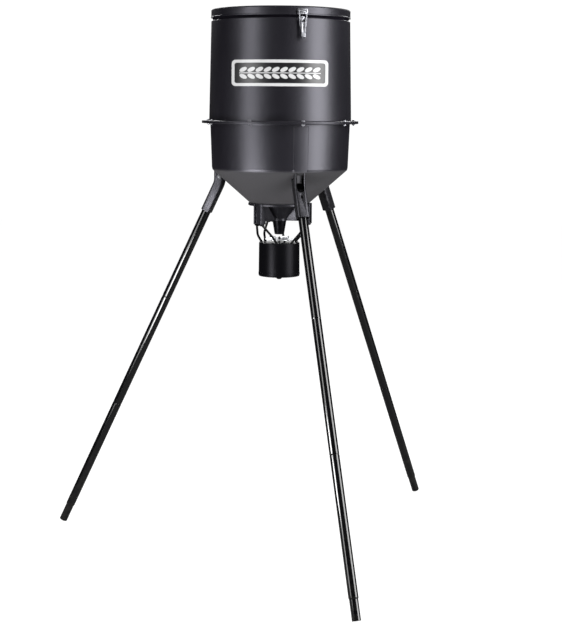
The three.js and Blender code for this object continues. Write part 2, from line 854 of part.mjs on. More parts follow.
function unitHousing() {
  const { radius, topRadius, wall, bottomZ, topZ, lidThickness, shaftHole } = UNIT;
  const edge = 2;
  const profile = [
    [radius - wall, bottomZ],
    [radius, bottomZ],
    [topRadius, topZ - edge],
    [topRadius - edge, topZ],
    [shaftHole, topZ],
    [shaftHole, topZ - lidThickness],
    [topRadius - wall, topZ - lidThickness],
  ];
  return turned(profile, UNIT_SIDES);
}

function driveMotor() {
  const { radius, bottomZ, topZ } = MOTOR;
  const body = rod(radius, topZ - bottomZ, 16, 0, 0, bottomZ);
  const bore = rod(SHAFT.radius + GAP, topZ, 16, 0, 0, SHAFT.bottomZ - 1);
  return cut(body, [bore]);
}

function motorShaft() {
  return rod(SHAFT.radius, SHAFT.topZ - SHAFT.bottomZ, 12, 0, 0, SHAFT.bottomZ);
}

function spinnerPlate() {
  const { radius, z, thickness, hubRadius, hubHeight, vanes, vaneHeight, vaneStart } = SPINNER;
  const hub = rod(hubRadius, hubHeight, 12, 0, 0, z - hubHeight);
  const disc = rod(radius, thickness, UNIT_SIDES, 0, 0, z);
  const blades = [...Array(vanes).keys()].map((i) => {
    const half = thickness / 2;
    const blade = boxGeometry([vaneStart, -half, z], [radius - 2, half, z + thickness + vaneHeight]);
    return solidOf(blade.rotateZ((2 * Math.PI * (i + 0.5)) / vanes));
  });
  const bore = rod(SHAFT.radius + GAP, 4 * hubHeight, 12, 0, 0, z - 2 * hubHeight);
  return cut(join([hub, disc, ...blades]), [bore]);
}

function spinnerNut() {
  const bottomZ = SPINNER.z + SPINNER.thickness + GAP;
  const { head, headHeight } = BOLT;
  const bore = rod(SHAFT.radius + GAP, 3 * headHeight, 12, 0, 0, bottomZ - headHeight);
  return cut(rod(head, headHeight, 6, 0, 0, bottomZ), [bore]);
}

function battery() {
  const { length, width, height, z, lidHeight, lidInset } = BATTERY;
  const centred = (inset, low, high) => {
    const corner = [length / 2 - inset, width / 2 - inset];
    return block([-corner[0], -corner[1], low], [...corner, high]);
  };
  const seamZ = z + height - lidHeight;
  return join([centred(0, z, seamZ), centred(lidInset, seamZ - 1, z + height)]);
}

function timerModule() {
  const { shelfRadius, shelfZ, width, depth, faceZ } = TIMER;
  const shelf = rod(shelfRadius, TIMER.shelf, UNIT_SIDES, 0, 0, shelfZ);
  const box = block([-width / 2, -depth / 2, faceZ], [width / 2, depth / 2, shelfZ + 1]);
  const edge = DISPLAY.width / 2 + GAP;
  const low = [-edge, DISPLAY.lowY - GAP, faceZ - 1];
  const window = block(low, [edge, DISPLAY.highY + GAP, faceZ + DISPLAY.recess]);
  const wells = buttonPlaces().map((x) =>
    rod(BUTTONS.radius + GAP, BUTTONS.height + 1, 10, x, BUTTONS.y, faceZ - 1),
  );
  return cut(join([shelf, box]), [window, ...wells]);
}

const buttonPlaces = () => BUTTONS.names.map((_, i) => (i - 1) * BUTTONS.pitch);

function displayLens() {
  const { width, lowY, highY, recess } = DISPLAY;
  const low = [-width / 2, lowY, TIMER.faceZ + 0.1];
  return block(low, [width / 2, highY, TIMER.faceZ + recess - GAP]);
}

function timerButton(x) {
  return rod(BUTTONS.radius, BUTTONS.height, 10, x, BUTTONS.y, TIMER.faceZ - BUTTONS.proud);
}

function motorLead() {
  const points = [
    [0, MOTOR.radius + GAP, MOTOR.leadZ],
    [0, LEAD.outY, MOTOR.leadZ],
    [0, LEAD.downY, TIMER.shelfZ + TIMER.shelf + GAP],
  ];
  return wire(points, LEAD.wire, LEAD.bend, 8);
}

function bottomCap() {
  const { radius, bottomZ, rimZ, plugRadius, plugZ, thickness, hole } = CAP;
  const plugInner = plugRadius - UNIT.wall;
  const profile = [
    [hole, bottomZ],
    [radius - thickness, bottomZ],
    [radius, bottomZ + 2],
    [radius, rimZ],
    [plugRadius, rimZ],
    [plugRadius, plugZ],
    [plugInner, plugZ],
    [plugInner, bottomZ + thickness],
    [hole, bottomZ + thickness],
  ];
  return turned(profile, UNIT_SIDES);
}

function capKnob() {
  const { radius, tipRadius, tipZ, shoulderZ, stem, dogLength, dogWidth, dogHeight } = KNOB;
  const headTop = CAP.bottomZ - GAP;
  const dogZ = CAP.bottomZ + CAP.thickness + GAP;
  const profile = [
    [0, tipZ],
    [tipRadius, tipZ],
    [radius, shoulderZ],
    [radius, headTop],
    [0, headTop],
  ];
  const head = turned(profile, 16);
  const low = [-dogLength / 2, -dogWidth / 2, dogZ];
  const dog = block(low, [dogLength / 2, dogWidth / 2, dogZ + dogHeight]);
  return join([head, rod(stem, dogZ + dogHeight - shoulderZ, 12, 0, 0, shoulderZ), dog]);
}

function addPowerUnit(parent) {
  place('unit_housing', unitHousing(), unitPlastic(), parent);
  place('drive_motor', driveMotor(), darkSteel(), parent);
  place('motor_shaft', motorShaft(), darkSteel(), parent);
  place('spinner_plate', spinnerPlate(), galvanised(), parent);
  place('spinner_nut', spinnerNut(), zinc(), parent);
  place('battery', battery(), batteryCase(), parent);
  place('timer_module', timerModule(), timerCase(), parent);
  place('display_lens', displayLens(), displayGlass(), parent);
  buttonPlaces().forEach((x, i) => {
    place(BUTTONS.names[i], timerButton(x), buttonRubber(), parent);
  });
  place('motor_lead', motorLead(), cableSheath(), parent);
  place('bottom_cap', bottomCap(), unitPlastic(), parent);
  place('cap_knob', capKnob(), unitPlastic(), parent);
}

// ---- Assembly ----

// Everything is built about the hopper's axis, then moved so that the footprint's centre is the origin.
function feeder() {
  const group = new THREE.Group();
  const body = new THREE.Group();
  group.add(body);
  addHopper(body);
  Object.entries(LATCHES).forEach(([side, azimuth]) => addLatch(side, azimuth, body));
  legAzimuths.forEach((azimuth, i) => addLeg(i + 1, azimuth, body));
  addOutlet(body);
  addPowerUnit(body);
  group.updateMatrixWorld(true);
  const centre = new THREE.Box3().setFromObject(group, true).getCenter(new THREE.Vector3());
  body.position.set(-centre.x, -centre.y, 0);
  return group;
}

export default feeder();
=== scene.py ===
import json
from math import asin, atan2, cos, degrees, hypot, pi, radians, sin, sqrt, tan
from types import SimpleNamespace as Sizes

import bmesh
import bpy
from mathutils import Matrix, Vector


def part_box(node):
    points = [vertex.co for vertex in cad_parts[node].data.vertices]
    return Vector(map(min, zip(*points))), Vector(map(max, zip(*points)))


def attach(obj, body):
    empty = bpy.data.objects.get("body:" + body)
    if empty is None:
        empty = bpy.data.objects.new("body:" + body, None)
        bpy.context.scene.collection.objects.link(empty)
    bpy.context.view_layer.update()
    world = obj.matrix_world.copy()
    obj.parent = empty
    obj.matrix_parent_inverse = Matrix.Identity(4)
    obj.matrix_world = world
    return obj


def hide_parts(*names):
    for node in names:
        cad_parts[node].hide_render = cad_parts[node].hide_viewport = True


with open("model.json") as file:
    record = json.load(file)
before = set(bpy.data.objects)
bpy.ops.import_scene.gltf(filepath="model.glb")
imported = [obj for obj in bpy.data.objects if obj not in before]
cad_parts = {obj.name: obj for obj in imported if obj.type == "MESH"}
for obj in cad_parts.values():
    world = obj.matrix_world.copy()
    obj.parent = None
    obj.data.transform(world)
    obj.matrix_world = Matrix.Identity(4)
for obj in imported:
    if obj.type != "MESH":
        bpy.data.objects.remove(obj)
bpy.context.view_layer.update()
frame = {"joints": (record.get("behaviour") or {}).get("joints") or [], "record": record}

# ---- The frame ----
# Shapes are drawn in millimetres, +Z up, with the hopper's axis at the origin and +X away from it.
# Azimuths are degrees about that axis, from -Y towards +X.

MM = 0.001
record = frame["record"]
joints = {joint["name"]: joint for joint in frame["joints"]}
body_of = {node: body for body, nodes in record["behaviour"]["bodies"].items() for node in nodes}


def extent(node):
    """Half width, lowest height and highest height of a CAD node, in millimetres."""
    low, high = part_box(node)
    return (high.x - low.x) / 2 / MM, low.z / MM, high.z / MM


def box_mm(node):
    return [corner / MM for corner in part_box(node)]


def centre_of(node):
    """A node's centre in millimetres from the hopper's axis."""
    low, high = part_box(node)
    return ((low + high) / 2 - AXIS) / MM


barrel_low, barrel_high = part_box("upper_barrel")
pivot = joints["front_lever_swing"]["pos_m"]
AXIS = Vector(((barrel_low.x + barrel_high.x) / 2, (barrel_low.y + barrel_high.y) / 2, 0))
FIRST_LEG = degrees(atan2(pivot[0] - AXIS.x, AXIS.y - pivot[1]))
LEGS = [FIRST_LEG + 120 * i for i in range(3)]
POSTS = [azimuth + 60 for azimuth in LEGS]
BOLTS = [FIRST_LEG + 40 * i for i in range(9)]
LATCHES = {"front": FIRST_LEG, "rear": FIRST_LEG + 180}
BUTTONS = ("button_set", "button_mode", "button_test")


def around(azimuth):
    """A turn about the hopper's axis that takes +X to an azimuth."""
    return Matrix.Rotation(radians(azimuth - 90), 4, "Z")


def station(azimuth=90):
    return Matrix.Translation(AXIS) @ around(azimuth) @ Matrix.Scale(MM, 4)


# ---- Sizes, in millimetres ----

FLANGE_RADIUS, SEAM_TOP, NECK_TOP = extent("upper_barrel")
LID_RADIUS, SKIRT, LID_TOP = extent("lid")
_, CONE_END, SEAM_BOTTOM = extent("lower_barrel")
UNIT_RADIUS, UNIT_BOTTOM, UNIT_TOP = extent("unit_housing")
SHAFT_RADIUS = extent("motor_shaft")[0]
GAP = 0.3
SEAT = 0.1

HOPPER = Sizes(
    wall=3.5, top=LID_RADIUS - GAP, shoulder=SKIRT - 9, neck=extent("lid_gasket")[0],
    seam=246.7, flange=4.35, lower_top=242.8, lower_bottom=237.3, lower_z=1350, lower_wall=4.5,
    slope=0.8833, cone_end=105.5, cone_rise=6, ledge=84, ledge_thickness=4.4,
)
BOLT_CIRCLE = 259
BOLT = Sizes(radius=2.9, hole=3.3, head=5.8, height=3.1, washer=7, plate=1.0, tail=3.0)
POCKET = Sizes(half=26, depth=1.8, top=SEAM_BOTTOM - 12)
LABEL = Sizes(corner=13, skin=0.8, lift=0.3)
LEG = Sizes(radius=15.9, wall=1.2, section=448.5, swage=66, narrow=14.3, reach=836.4, tilt=radians(25.57))
BRACKET = Sizes(width=41, depth=36, corner=10, wall=1.6, top=1345, bottom=1191, reach=217.2)
WINDOW = Sizes(half=13, bottom=1277, slot_z=1263, slot=(6.4, 12), front=8)
CROSS_BOLT = Sizes(reach=214, z=1314, half=24.5)
LUG = Sizes(half=8, bottom=1304.5, outer=224, embed=2.5)
COLLAR = Sizes(
    radius=110, flange=1217, top=1226.2, bottom=1163, socket=1177, hub=27, cone=62, throat=21,
    wall=4.4, web=7,
)
POST = Sizes(reach=101, width=38, depth=24, bottom=1155)
HANGER = Sizes(
    pad=(20, 34, 4), wire=4, top=13, knee=(75, 34), drop=0.6, sunk_top=2.7, sunk_foot=1.5,
    foot=5, foot_reach=UNIT_RADIUS - 8, foot_angle=radians(34),
)
LATCH = Sizes(
    wall=240, pivot_r=248, pivot_z=1837, pin_hole=2.3, bail_r=247.5, bail_z=1817,
    bail_top=1869, wire=1.6, sheet=1.6, strike_z=1867.3, shelf=1863, base_z=1826,
    lever_low=1786, cheek_low=1808, tab_low=1780.8,
)
SPINNER = Sizes(radius=50, z=1097, thickness=1.6, hub=9)

FINE, MEDIUM, SMALL = 192, 96, 32
SHARP = radians(38)


# ---- Shapes ----


def curve(start, corner, end, steps):
    """Points of a curve from start to end that bends towards a corner."""
    shares = [step / steps for step in range(steps + 1)]
    return [start * (1 - t) ** 2 + corner * 2 * t * (1 - t) + end * t * t for t in shares]


def rounded(outline, steps=4):
    """A closed outline of (u, v) corners; a corner with a third value is rounded by that radius."""
    points = []
    for i, corner in enumerate(outline):
        here = Vector(corner[:2])
        if len(corner) < 3:
            points.append(here)
            continue
        before = Vector(outline[i - 1][:2]) - here
        after = Vector(outline[(i + 1) % len(outline)][:2]) - here
        reach = corner[2] / tan(before.angle(after) / 2)
        reach = min(reach, 0.49 * before.length, 0.49 * after.length)
        points += curve(here + before.normalized() * reach, here, here + after.normalized() * reach, steps)
    return points


def eased(corners, bend, steps=6):
    """A path through corner points, each corner turned into a curve that starts bend before it."""
    points = [Vector(corner) for corner in corners]
    path = [points[0]]
    for before, here, after in zip(points, points[1:], points[2:]):
        start = here + (before - here).normalized() * bend
        path += curve(start, here, here + (after - here).normalized() * bend, steps)
    return [*path, points[-1]]


def rectangle(width, height, corner):
    u, v = width / 2, height / 2
    return [(u, -v, corner), (u, v, corner), (-u, v, corner), (-u, -v, corner)]


def slab(width, height, corner, start, end, z):
    """A round-cornered slab that faces +X, centred at a height."""
    return shifted(prism(rectangle(width, height, corner), start, end, "x"), 0, 0, z)


def circle(radius, sides=SMALL, angles=None):
    angles = angles or [2 * pi * i / sides for i in range(sides)]
    return [(radius * cos(a), radius * sin(a)) for a in angles]


def bridge(shape, first, second):
    """Faces between two rings of vertices; a ring of one vertex is a point on the axis."""
    count = max(len(first), len(second))
    if count == 1:
        return
    for i in range(count):
        j = (i + 1) % count
        corners = [ring[k % len(ring)] for ring, k in ((first, i), (first, j), (second, j), (second, i))]
        shape.faces.new(list(dict.fromkeys(corners)))


def closed(shape):
    """Turns the faces of a finished shape outwards."""
    bmesh.ops.recalc_face_normals(shape, faces=shape.faces)
    return shape


def turned(outline, sides=MEDIUM, angles=None):
    """An outline of (radius, height) corners turned about Z."""
    shape = bmesh.new()
    rings = []
    for radius, height in rounded(outline):
        spots = [(0, 0)] if radius < 1e-6 else circle(radius, sides, angles)
        rings.append([shape.verts.new((*spot, height)) for spot in spots])
    for i, ring in enumerate(rings):
        bridge(shape, rings[i - 1], ring)
    return closed(shape)


def prism(outline, start, end, along="z"):
    """A flat outline extruded along an axis: (x, y) along z, (y, z) along x, (x, z) along y."""

    def spot(u, v, w):
        return {"z": (u, v, w), "x": (w, u, v), "y": (u, w, v)}[along]

    shape = bmesh.new()
    low, high = [[shape.verts.new(spot(u, v, w)) for u, v in rounded(outline)] for w in (start, end)]
    bridge(shape, low, high)
    shape.faces.new(low)
    shape.faces.new(high)
    return closed(shape)


def swept(path, section, up):
    """A section of (side, up) points carried along a path, with flat ends."""
    shape = bmesh.new()
    rings = []
    for i, point in enumerate(path):
        ahead = (path[min(i + 1, len(path) - 1)] - path[max(i - 1, 0)]).normalized()
        side = ahead.cross(Vector(up)).normalized()
        over = side.cross(ahead)
        rings.append([shape.verts.new(point + side * u + over * v) for u, v in section])
    for first, second in zip(rings, rings[1:]):
        bridge(shape, first, second)
    shape.faces.new(rings[0])
    shape.faces.new(rings[-1])
    return closed(shape)


def moved(shape, matrix):
    shape.transform(matrix)
    return shape


def shifted(shape, x=0.0, y=0.0, z=0.0):
    return moved(shape, Matrix.Translation((x, y, z)))


def spun(shape, angle, axis="X"):
    return moved(shape, Matrix.Rotation(angle, 4, axis))


def laid(shape, x, y, z):
    """A shape drawn about Z, laid along Y at a point."""
    return shifted(spun(shape, pi / 2), x, y, z)


def bevelled(shape, edges, width, segments):
    bmesh.ops.bevel(
        shape, geom=edges, offset=width, segments=segments, profile=0.5, affect="EDGES", clamp_overlap=True
    )
    return shape


def softened(shape, width, angle=35, segments=2):
    """Rounds the edges that turn by more than an angle."""
    edges = [e for e in shape.edges if len(e.link_faces) == 2 and e.calc_face_angle(0) > radians(angle)]
    return bevelled(shape, edges, width, segments)


def gathered(*shapes):
    """Several shapes as one, without joining their surfaces."""
    whole = bmesh.new()
    for shape in shapes:
        mesh = bpy.data.meshes.new("part")
        shape.to_mesh(mesh)
        shape.free()
        whole.from_mesh(mesh)
        bpy.data.meshes.remove(mesh)
    return whole


def placed(name, data):
    """A new object in the scene that shows some data."""
    made = bpy.data.objects.new(name, data)
    bpy.context.scene.collection.objects.link(made)
    return made


def as_object(shape, name="helper"):
    mesh = bpy.data.meshes.new(name)
    shape.to_mesh(mesh)
    shape.free()
    return placed(name, mesh)


def combined(base, others, operation):
    target = as_object(base)
    helpers = [as_object(other) for other in others]
    for helper in helpers:
        modifier = target.modifiers.new("combine", "BOOLEAN")
        modifier.operation = operation
        modifier.object = helper
        modifier.solver = "EXACT"
    evaluated = target.evaluated_get(bpy.context.evaluated_depsgraph_get())
    shape = bmesh.new()
    shape.from_mesh(evaluated.to_mesh())
    evaluated.to_mesh_clear()
    for made in [target, *helpers]:
        mesh = made.data
        bpy.data.objects.remove(made)
        bpy.data.meshes.remove(mesh)
    return shape


def fused(base, *others):
    return combined(base, others, "UNION")


def carved(base, *cutters):
    return combined(base, cutters, "DIFFERENCE")


def piece(node, shape, material, place=None):
    """Puts a shape in the scene as the finished form of a CAD node."""
    mesh = bpy.data.meshes.new(node + "_form")
    shape.to_mesh(mesh)
    mesh.transform(station() if place is None else place)
    mesh.shade_smooth()
    mesh.set_sharp_from_angle(angle=SHARP)
    mesh.materials.append(material)
    made = placed(node + "_form", mesh)
    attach(made, body_of[node])
    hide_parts(node)


# ---- Materials, in metres ----

BARREL_COLOUR = (0.0044, 0.004, 0.0058)
BARREL_ROUGHNESS = 0.385
UNIT_BLACK = (0.0016, 0.0016, 0.002)
COOL_TINT = (0.9, 0.89, 1, 1)


def feed(node, *values, **named):
    """Sets or connects the inputs of a shader node, by place or by name."""
    for key, value in [*enumerate(values), *named.items()]:
        socket = node.inputs[key if isinstance(key, int) else key.replace("_", " ")]
        if isinstance(value, bpy.types.NodeSocket):
            node.id_data.links.new(value, socket)
        else:
            socket.default_value = value


def added(tree, kind, *values, **named):
    node = tree.nodes.new("ShaderNode" + kind)
    feed(node, *values, **named)
    return node


def seen_as(tree, felt, seen):
    """A shader that looks like seen to the camera and acts like felt on the light."""
    path = added(tree, "LightPath")
    return added(tree, "MixShader", path.outputs["Is Camera Ray"], felt, seen).outputs[0]


class Look:
    """A node material: its methods add nodes, and return an output or change what the shader gets."""

    def __init__(self, name, colour, roughness, metallic=0.0):
        self.material = bpy.data.materials.new(name)
        self.material.use_nodes = True
        self.tree = self.material.node_tree
        self.shader = self.tree.nodes["Principled BSDF"]
        self.place = self.node("TexCoord").outputs["Object"]
        self.colour = self.constant(colour)
        self.roughness = roughness
        self.normal = None
        self.set(Metallic=metallic)

    def node(self, kind, *values, **named):
        return added(self.tree, kind, *values, **named)

    def set(self, **inputs):
        feed(self.shader, **inputs)

    def constant(self, colour):
        output = self.node("RGB").outputs[0]
        output.default_value = (*colour, 1)
        return output

    def axes(self):
        return self.node("SeparateXYZ", self.place).outputs

    def noise(self, scale, detail, stretch=(1, 1, 1)):
        mapping = self.node("Mapping", self.place, Scale=stretch)
        return self.node("TexNoise", mapping.outputs[0], Scale=scale, Detail=detail).outputs["Fac"]

    def cells(self, scale, output="Distance"):
        return self.node("TexVoronoi", self.place, Scale=scale).outputs[output]

    def ranged(self, value, low, high, first=0.0, second=1.0):
        return self.node("MapRange", value, low, high, first, second).outputs["Result"]

    def worked(self, operation, first, second=0.0):
        node = self.node("Math", first, second)
        node.operation = operation
        return node.outputs[0]

    def plus(self, first, second):
        return self.worked("ADD", first, second)

    def minus(self, first, second):
        return self.worked("SUBTRACT", first, second)

    def times(self, first, second):
        return self.worked("MULTIPLY", first, second)

    def blend(self, share, colour):
        """Mixes another colour into the base by a share."""
        mix = self.node("Mix")
        mix.data_type = "RGBA"
        feed(mix, Factor=share, A=self.colour, B=self.constant(colour))
        self.colour = mix.outputs["Result"]

    def roughen(self, share, amount):
        self.roughness = self.plus(self.roughness, self.times(share, amount))

    def vary(self, value, amount):
        """Adds a noise value, centred on a half, to the roughness."""
        self.roughen(self.minus(value, 0.5), amount)

    def bump(self, height, depth, strength):
        node = self.node("Bump", Distance=depth, Strength=strength, Height=height)
        if self.normal is not None:
            feed(node, Normal=self.normal)
        self.normal = node.outputs["Normal"]

    def edges(self):
        """A share that is 1 on convex edges and 0 on flats."""
        return self.ranged(self.node("NewGeometry").outputs["Pointiness"], 0.52, 0.6)

    def height(self, low, high):
        """A share that is 1 at height low and 0 at height high."""
        return self.ranged(self.axes()["Z"], low, high, 1.0, 0.0)

    def done(self):
        self.set(Base_Color=self.colour, Roughness=self.roughness)
        if self.normal is not None:
            self.set(Normal=self.normal)
        return self.material


def moulded(name, colour, roughness, grain=1500, depth=0.00012, level=0.5):
    """Moulded plastic: a fine stipple, slight flow marks and paler edges."""
    look = Look(name, colour, roughness)
    look.set(Specular_Tint=COOL_TINT, Specular_IOR_Level=level)
    stipple = look.noise(grain, 3)
    flow = look.noise(14, 2, (1, 1, 0.35))
    pebble = look.noise(grain / 4, 2)
    look.blend(look.ranged(flow, 0.35, 0.75, 0.0, 0.5), [c * 1.5 for c in colour])
    look.blend(look.times(look.edges(), 0.25), (0.06, 0.06, 0.07))
    look.vary(flow, 0.07)
    look.vary(pebble, 0.16)
    look.vary(stipple, 0.12)
    look.bump(look.noise(7, 1), 0.0012, 0.25)
    look.bump(pebble, 3 * depth, 0.5)
    look.bump(stipple, depth, 0.5)
    return look


def barrel_plastic():
    """Black plastic, matt on the neck above the shoulder."""
    look = moulded("barrel_plastic", BARREL_COLOUR, BARREL_ROUGHNESS)
    edge = HOPPER.shoulder * MM
    wall = look.height(edge + 0.0002, edge + 0.0012)
    look.set(Specular_IOR_Level=look.times(wall, 0.5))
    return look.done()


def lid_plastic():
    """The barrel's plastic, with a matt top."""
    look = moulded("lid_plastic", BARREL_COLOUR, BARREL_ROUGHNESS)
    side = look.height((LID_TOP - 5) * MM, (LID_TOP - 2) * MM)
    look.roughen(look.minus(1.0, side), 0.25)
    look.set(Specular_IOR_Level=look.plus(look.times(side, 0.35), 0.15))
    return look.done()


def cone_plastic():
    """The barrel's plastic, rougher on the cone below the edge at the foot of the wall, with the light that
    the floor throws up onto the cone painted in as a paler colour.
    """
    look = moulded("cone_plastic", BARREL_COLOUR, BARREL_ROUGHNESS)
    edge = HOPPER.lower_z * MM
    cone = look.height(edge - 0.012, edge - 0.003)
    # Painted light: the paler colour on the cone stands in for the floor's light falling on it, not for a
    # paler plastic.
    look.blend(cone, (0.042, 0.041, 0.043))
    look.roughen(cone, 0.2)
    return look.done()


def collar_plastic():
    return moulded("collar_plastic", (0.006, 0.0058, 0.0072), 0.36, 2200, 0.00008, 0.28).done()


def unit_plastic():
    return moulded("unit_plastic", UNIT_BLACK, 0.34, 2200, 0.00008, 0.055).done()


def battery_case():
    return moulded("battery_case", (0.02, 0.035, 0.027), 0.5, 900).done()


def timer_case():
    return moulded("timer_case", (0.04, 0.042, 0.045), 0.5, 1100).done()


def powder_coat():
    """Textured powder coat: an orange-peel grain, rubbed a little on its edges."""
    look = Look("powder_coat", (0.005, 0.0049, 0.0055), 0.36)
    look.set(Specular_IOR_Level=0.36, Specular_Tint=COOL_TINT)
    grain = look.noise(850, 2)
    wear = look.times(look.edges(), look.ranged(look.noise(120, 3), 0.5, 0.7))
    look.blend(look.times(wear, 0.4), (0.16, 0.16, 0.17))
    look.vary(grain, 0.16)
    look.bump(grain, 0.0004, 0.6)
    return look.done()


def black_rod():
    look = Look("black_rod", UNIT_BLACK, 0.4)
    look.set(Specular_IOR_Level=0.1)
    look.vary(look.noise(300, 2), 0.1)
    look.bump(look.noise(900, 2), 0.0001, 0.3)
    return look.done()


def gloss_paint():
    """Gloss paint on drawn tube: a slight ripple, a few lengthwise scratches, dust towards the foot."""
    look = Look("gloss_paint", (0.002, 0.002, 0.0023), 0.12)
    smear = look.noise(60, 3)
    scratch = look.ranged(look.noise(420, 4, (1, 1, 0.03)), 0.68, 0.74)
    dust = look.times(look.height(0.0, 0.4), look.ranged(smear, 0.4, 0.8))
    look.blend(look.times(dust, 0.08), (0.16, 0.15, 0.13))
    look.blend(look.times(scratch, 0.05), (0.15, 0.15, 0.15))
    look.vary(smear, 0.06)
    look.roughen(scratch, 0.06)
    look.bump(look.noise(30, 1), 0.0004, 0.1)
    return look.done()


def bright_zinc():
    """Bright zinc plate: soft blotches and fine brushing."""
    look = Look("bright_zinc", (0.3, 0.302, 0.325), 0.34, 1.0)
    blotch = look.noise(160, 3)
    look.blend(look.ranged(blotch, 0.4, 0.8, 0.0, 0.6), (0.15, 0.152, 0.168))
    look.vary(blotch, 0.25)
    look.bump(look.noise(1400, 2, (1, 1, 0.12)), 0.00008, 0.5)
    return look.done()


def dark_steel():
    look = Look("dark_steel", (0.075, 0.077, 0.082), 0.42, 1.0)
    blotch = look.noise(120, 3)
    look.blend(look.ranged(blotch, 0.45, 0.8, 0.0, 0.5), (0.04, 0.038, 0.036))
    look.vary(blotch, 0.25)
    look.bump(look.noise(1600, 2), 0.00006, 0.5)
    return look.done()


def galvanised():
    """Galvanised sheet: a spangle of pale crystals."""
    look = Look("galvanised", (0.8, 0.81, 0.83), 0.42, 1.0)
    spangle = look.cells(210, "Color")
    look.blend(look.ranged(spangle, 0.2, 0.9, 0.0, 0.55), (0.45, 0.46, 0.48))
    look.vary(spangle, 0.22)
    look.bump(look.cells(210), 0.0001, 0.4)
    return look.done()


def foam_rubber():
    look = Look("foam_rubber", (0.02, 0.02, 0.02), 0.92)
    pores = look.cells(900)
    look.blend(look.ranged(pores, 0.0, 0.5, 0.6, 0.0), (0.008, 0.008, 0.008))
    look.bump(pores, 0.0006, 0.8)
    return look.done()


def label_film():
    """Satin black film, printed white with a round-cornered border and an ear of grain."""
    low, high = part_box("front_label")
    centre, half = (low + high) / 2, (high - low) / 2
    corner, border = 0.007, 0.0098
    pitch, pairs, lean = 0.027, 10, radians(24)
    row, leaf_length, leaf_width, stem_half = 0.0112, 0.0132, 0.0066, 0.0013
    look = Look("label_film", (0.004, 0.0038, 0.005), 0.36)
    x, _, z = look.axes()
    x, z = look.minus(x, centre.x), look.minus(z, centre.z)

    def size(value):
        return look.worked("ABSOLUTE", value)

    def length(u, v):
        return look.worked("SQRT", look.plus(look.times(u, u), look.times(v, v)))

    def either(first, second):
        return look.worked("MAXIMUM", first, second)

    def inside(distance, limit, edge=0.0004):
        return look.ranged(distance, limit - edge, limit + edge, 1.0, 0.0)

    across = either(look.minus(size(x), half.x - border - corner), 0.0)
    up = either(look.minus(size(z), half.z - border - corner), 0.0)
    ring = look.minus(1.0, inside(length(across, up), corner))

    along = look.minus(look.worked("FLOORED_MODULO", x, pitch), pitch / 2)
    rise = look.minus(size(z), row)
    u = look.plus(look.times(along, cos(lean)), look.times(rise, sin(lean)))
    v = look.minus(look.times(rise, cos(lean)), look.times(along, sin(lean)))
    u, v = look.worked("DIVIDE", u, leaf_length), look.worked("DIVIDE", v, leaf_width)
    ear = either(inside(length(u, v), 1.0), inside(size(z), stem_half))
    printed = either(ring, look.times(ear, inside(size(x), pairs / 2 * pitch)))

    wear = look.ranged(look.noise(900, 4), 0.25, 0.36)
    look.blend(look.times(printed, wear), (0.45, 0.45, 0.455))
    look.vary(look.noise(90, 3), 0.12)
    look.bump(printed, 0.00008, 0.6)
    look.bump(look.noise(1200, 2), 0.00006, 0.4)
    return look.done()


def display_glass():
    """Grey-green liquid crystal glass, with a darker band at its two ends."""
    low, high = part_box("display_lens")
    half = (high.x - low.x) / 2
    look = Look("display_glass", (0.26, 0.3, 0.22), 0.08)
    across = look.worked("ABSOLUTE", look.minus(look.axes()["X"], (low.x + high.x) / 2))
    look.blend(look.ranged(across, half - 0.003, half - 0.0024), (0.03, 0.035, 0.03))
    look.blend(look.ranged(look.noise(240, 3), 0.5, 0.8, 0.0, 0.2), (0.18, 0.22, 0.16))
    look.bump(look.noise(300, 1), 0.00005, 0.2)
    return look.done()


def button_rubber():
    look = Look("button_rubber", (0.25, 0.27, 0.3), 0.75)
    grain = look.noise(1300, 2)
    look.blend(look.ranged(grain, 0.4, 0.8, 0.0, 0.3), (0.17, 0.18, 0.2))
    look.bump(grain, 0.0001, 0.5)
    return look.done()


def cable_sheath():
    look = Look("cable_sheath", (0.26, 0.012, 0.01), 0.42)
    grain = look.noise(500, 2)
    look.blend(look.ranged(grain, 0.45, 0.8, 0.0, 0.4), (0.15, 0.008, 0.007))
    look.vary(grain, 0.15)
    look.bump(grain, 0.0001, 0.4)
    return look.done()


# ---- Hopper ----


def cone_height(radius):
    return CONE_END + (radius - HOPPER.cone_end) * HOPPER.slope


def drill(radius, half, sides=24):
    """An upright cylinder for cutting holes, centred on height 0."""
    return turned([(0, -half), (radius, -half), (radius, half), (0, half)], sides)


def flange_holes():
    return [moved(shifted(drill(BOLT.hole, 20), BOLT_CIRCLE, 0, SEAM_TOP), around(a)) for a in BOLTS]


def upper_barrel(plastic):
    wall, seam = HOPPER.wall, HOPPER.seam
    top, neck, shoulder = HOPPER.top, HOPPER.neck, HOPPER.shoulder
    over = SEAM_TOP + HOPPER.flange
    outline = [
        (seam - wall, SEAM_TOP, 1), (FLANGE_RADIUS, SEAM_TOP, 0.8), (FLANGE_RADIUS, over, 1.6),
        (seam, over, 3), (top, shoulder, 3), (neck, shoulder, 1), (neck, NECK_TOP, 1.2),
        (neck - wall, NECK_TOP, 1.2), (neck - wall, shoulder - 4, 1), (top - wall, shoulder - 9, 2),
    ]
    piece("upper_barrel", carved(turned(outline, FINE), *flange_holes()), plastic)


def pocket_angles():
    """Column angles for the lower barrel: evenly spaced, with extra ones at the edges of each pocket."""
    edge = degrees(asin(POCKET.half / HOPPER.lower_top))
    offsets = [side * (edge + offset) for side in (-1, 1) for offset in (-0.3, 0.2)]
    marks = [azimuth - 90 + offset for azimuth in LEGS for offset in offsets]
    even = [360 * i / FINE for i in range(FINE)]
    clear = [a for a in even if all(abs((a - m + 180) % 360 - 180) > 0.5 for m in marks)]
    return [radians(a) for a in sorted(clear + [m % 360 for m in marks])]


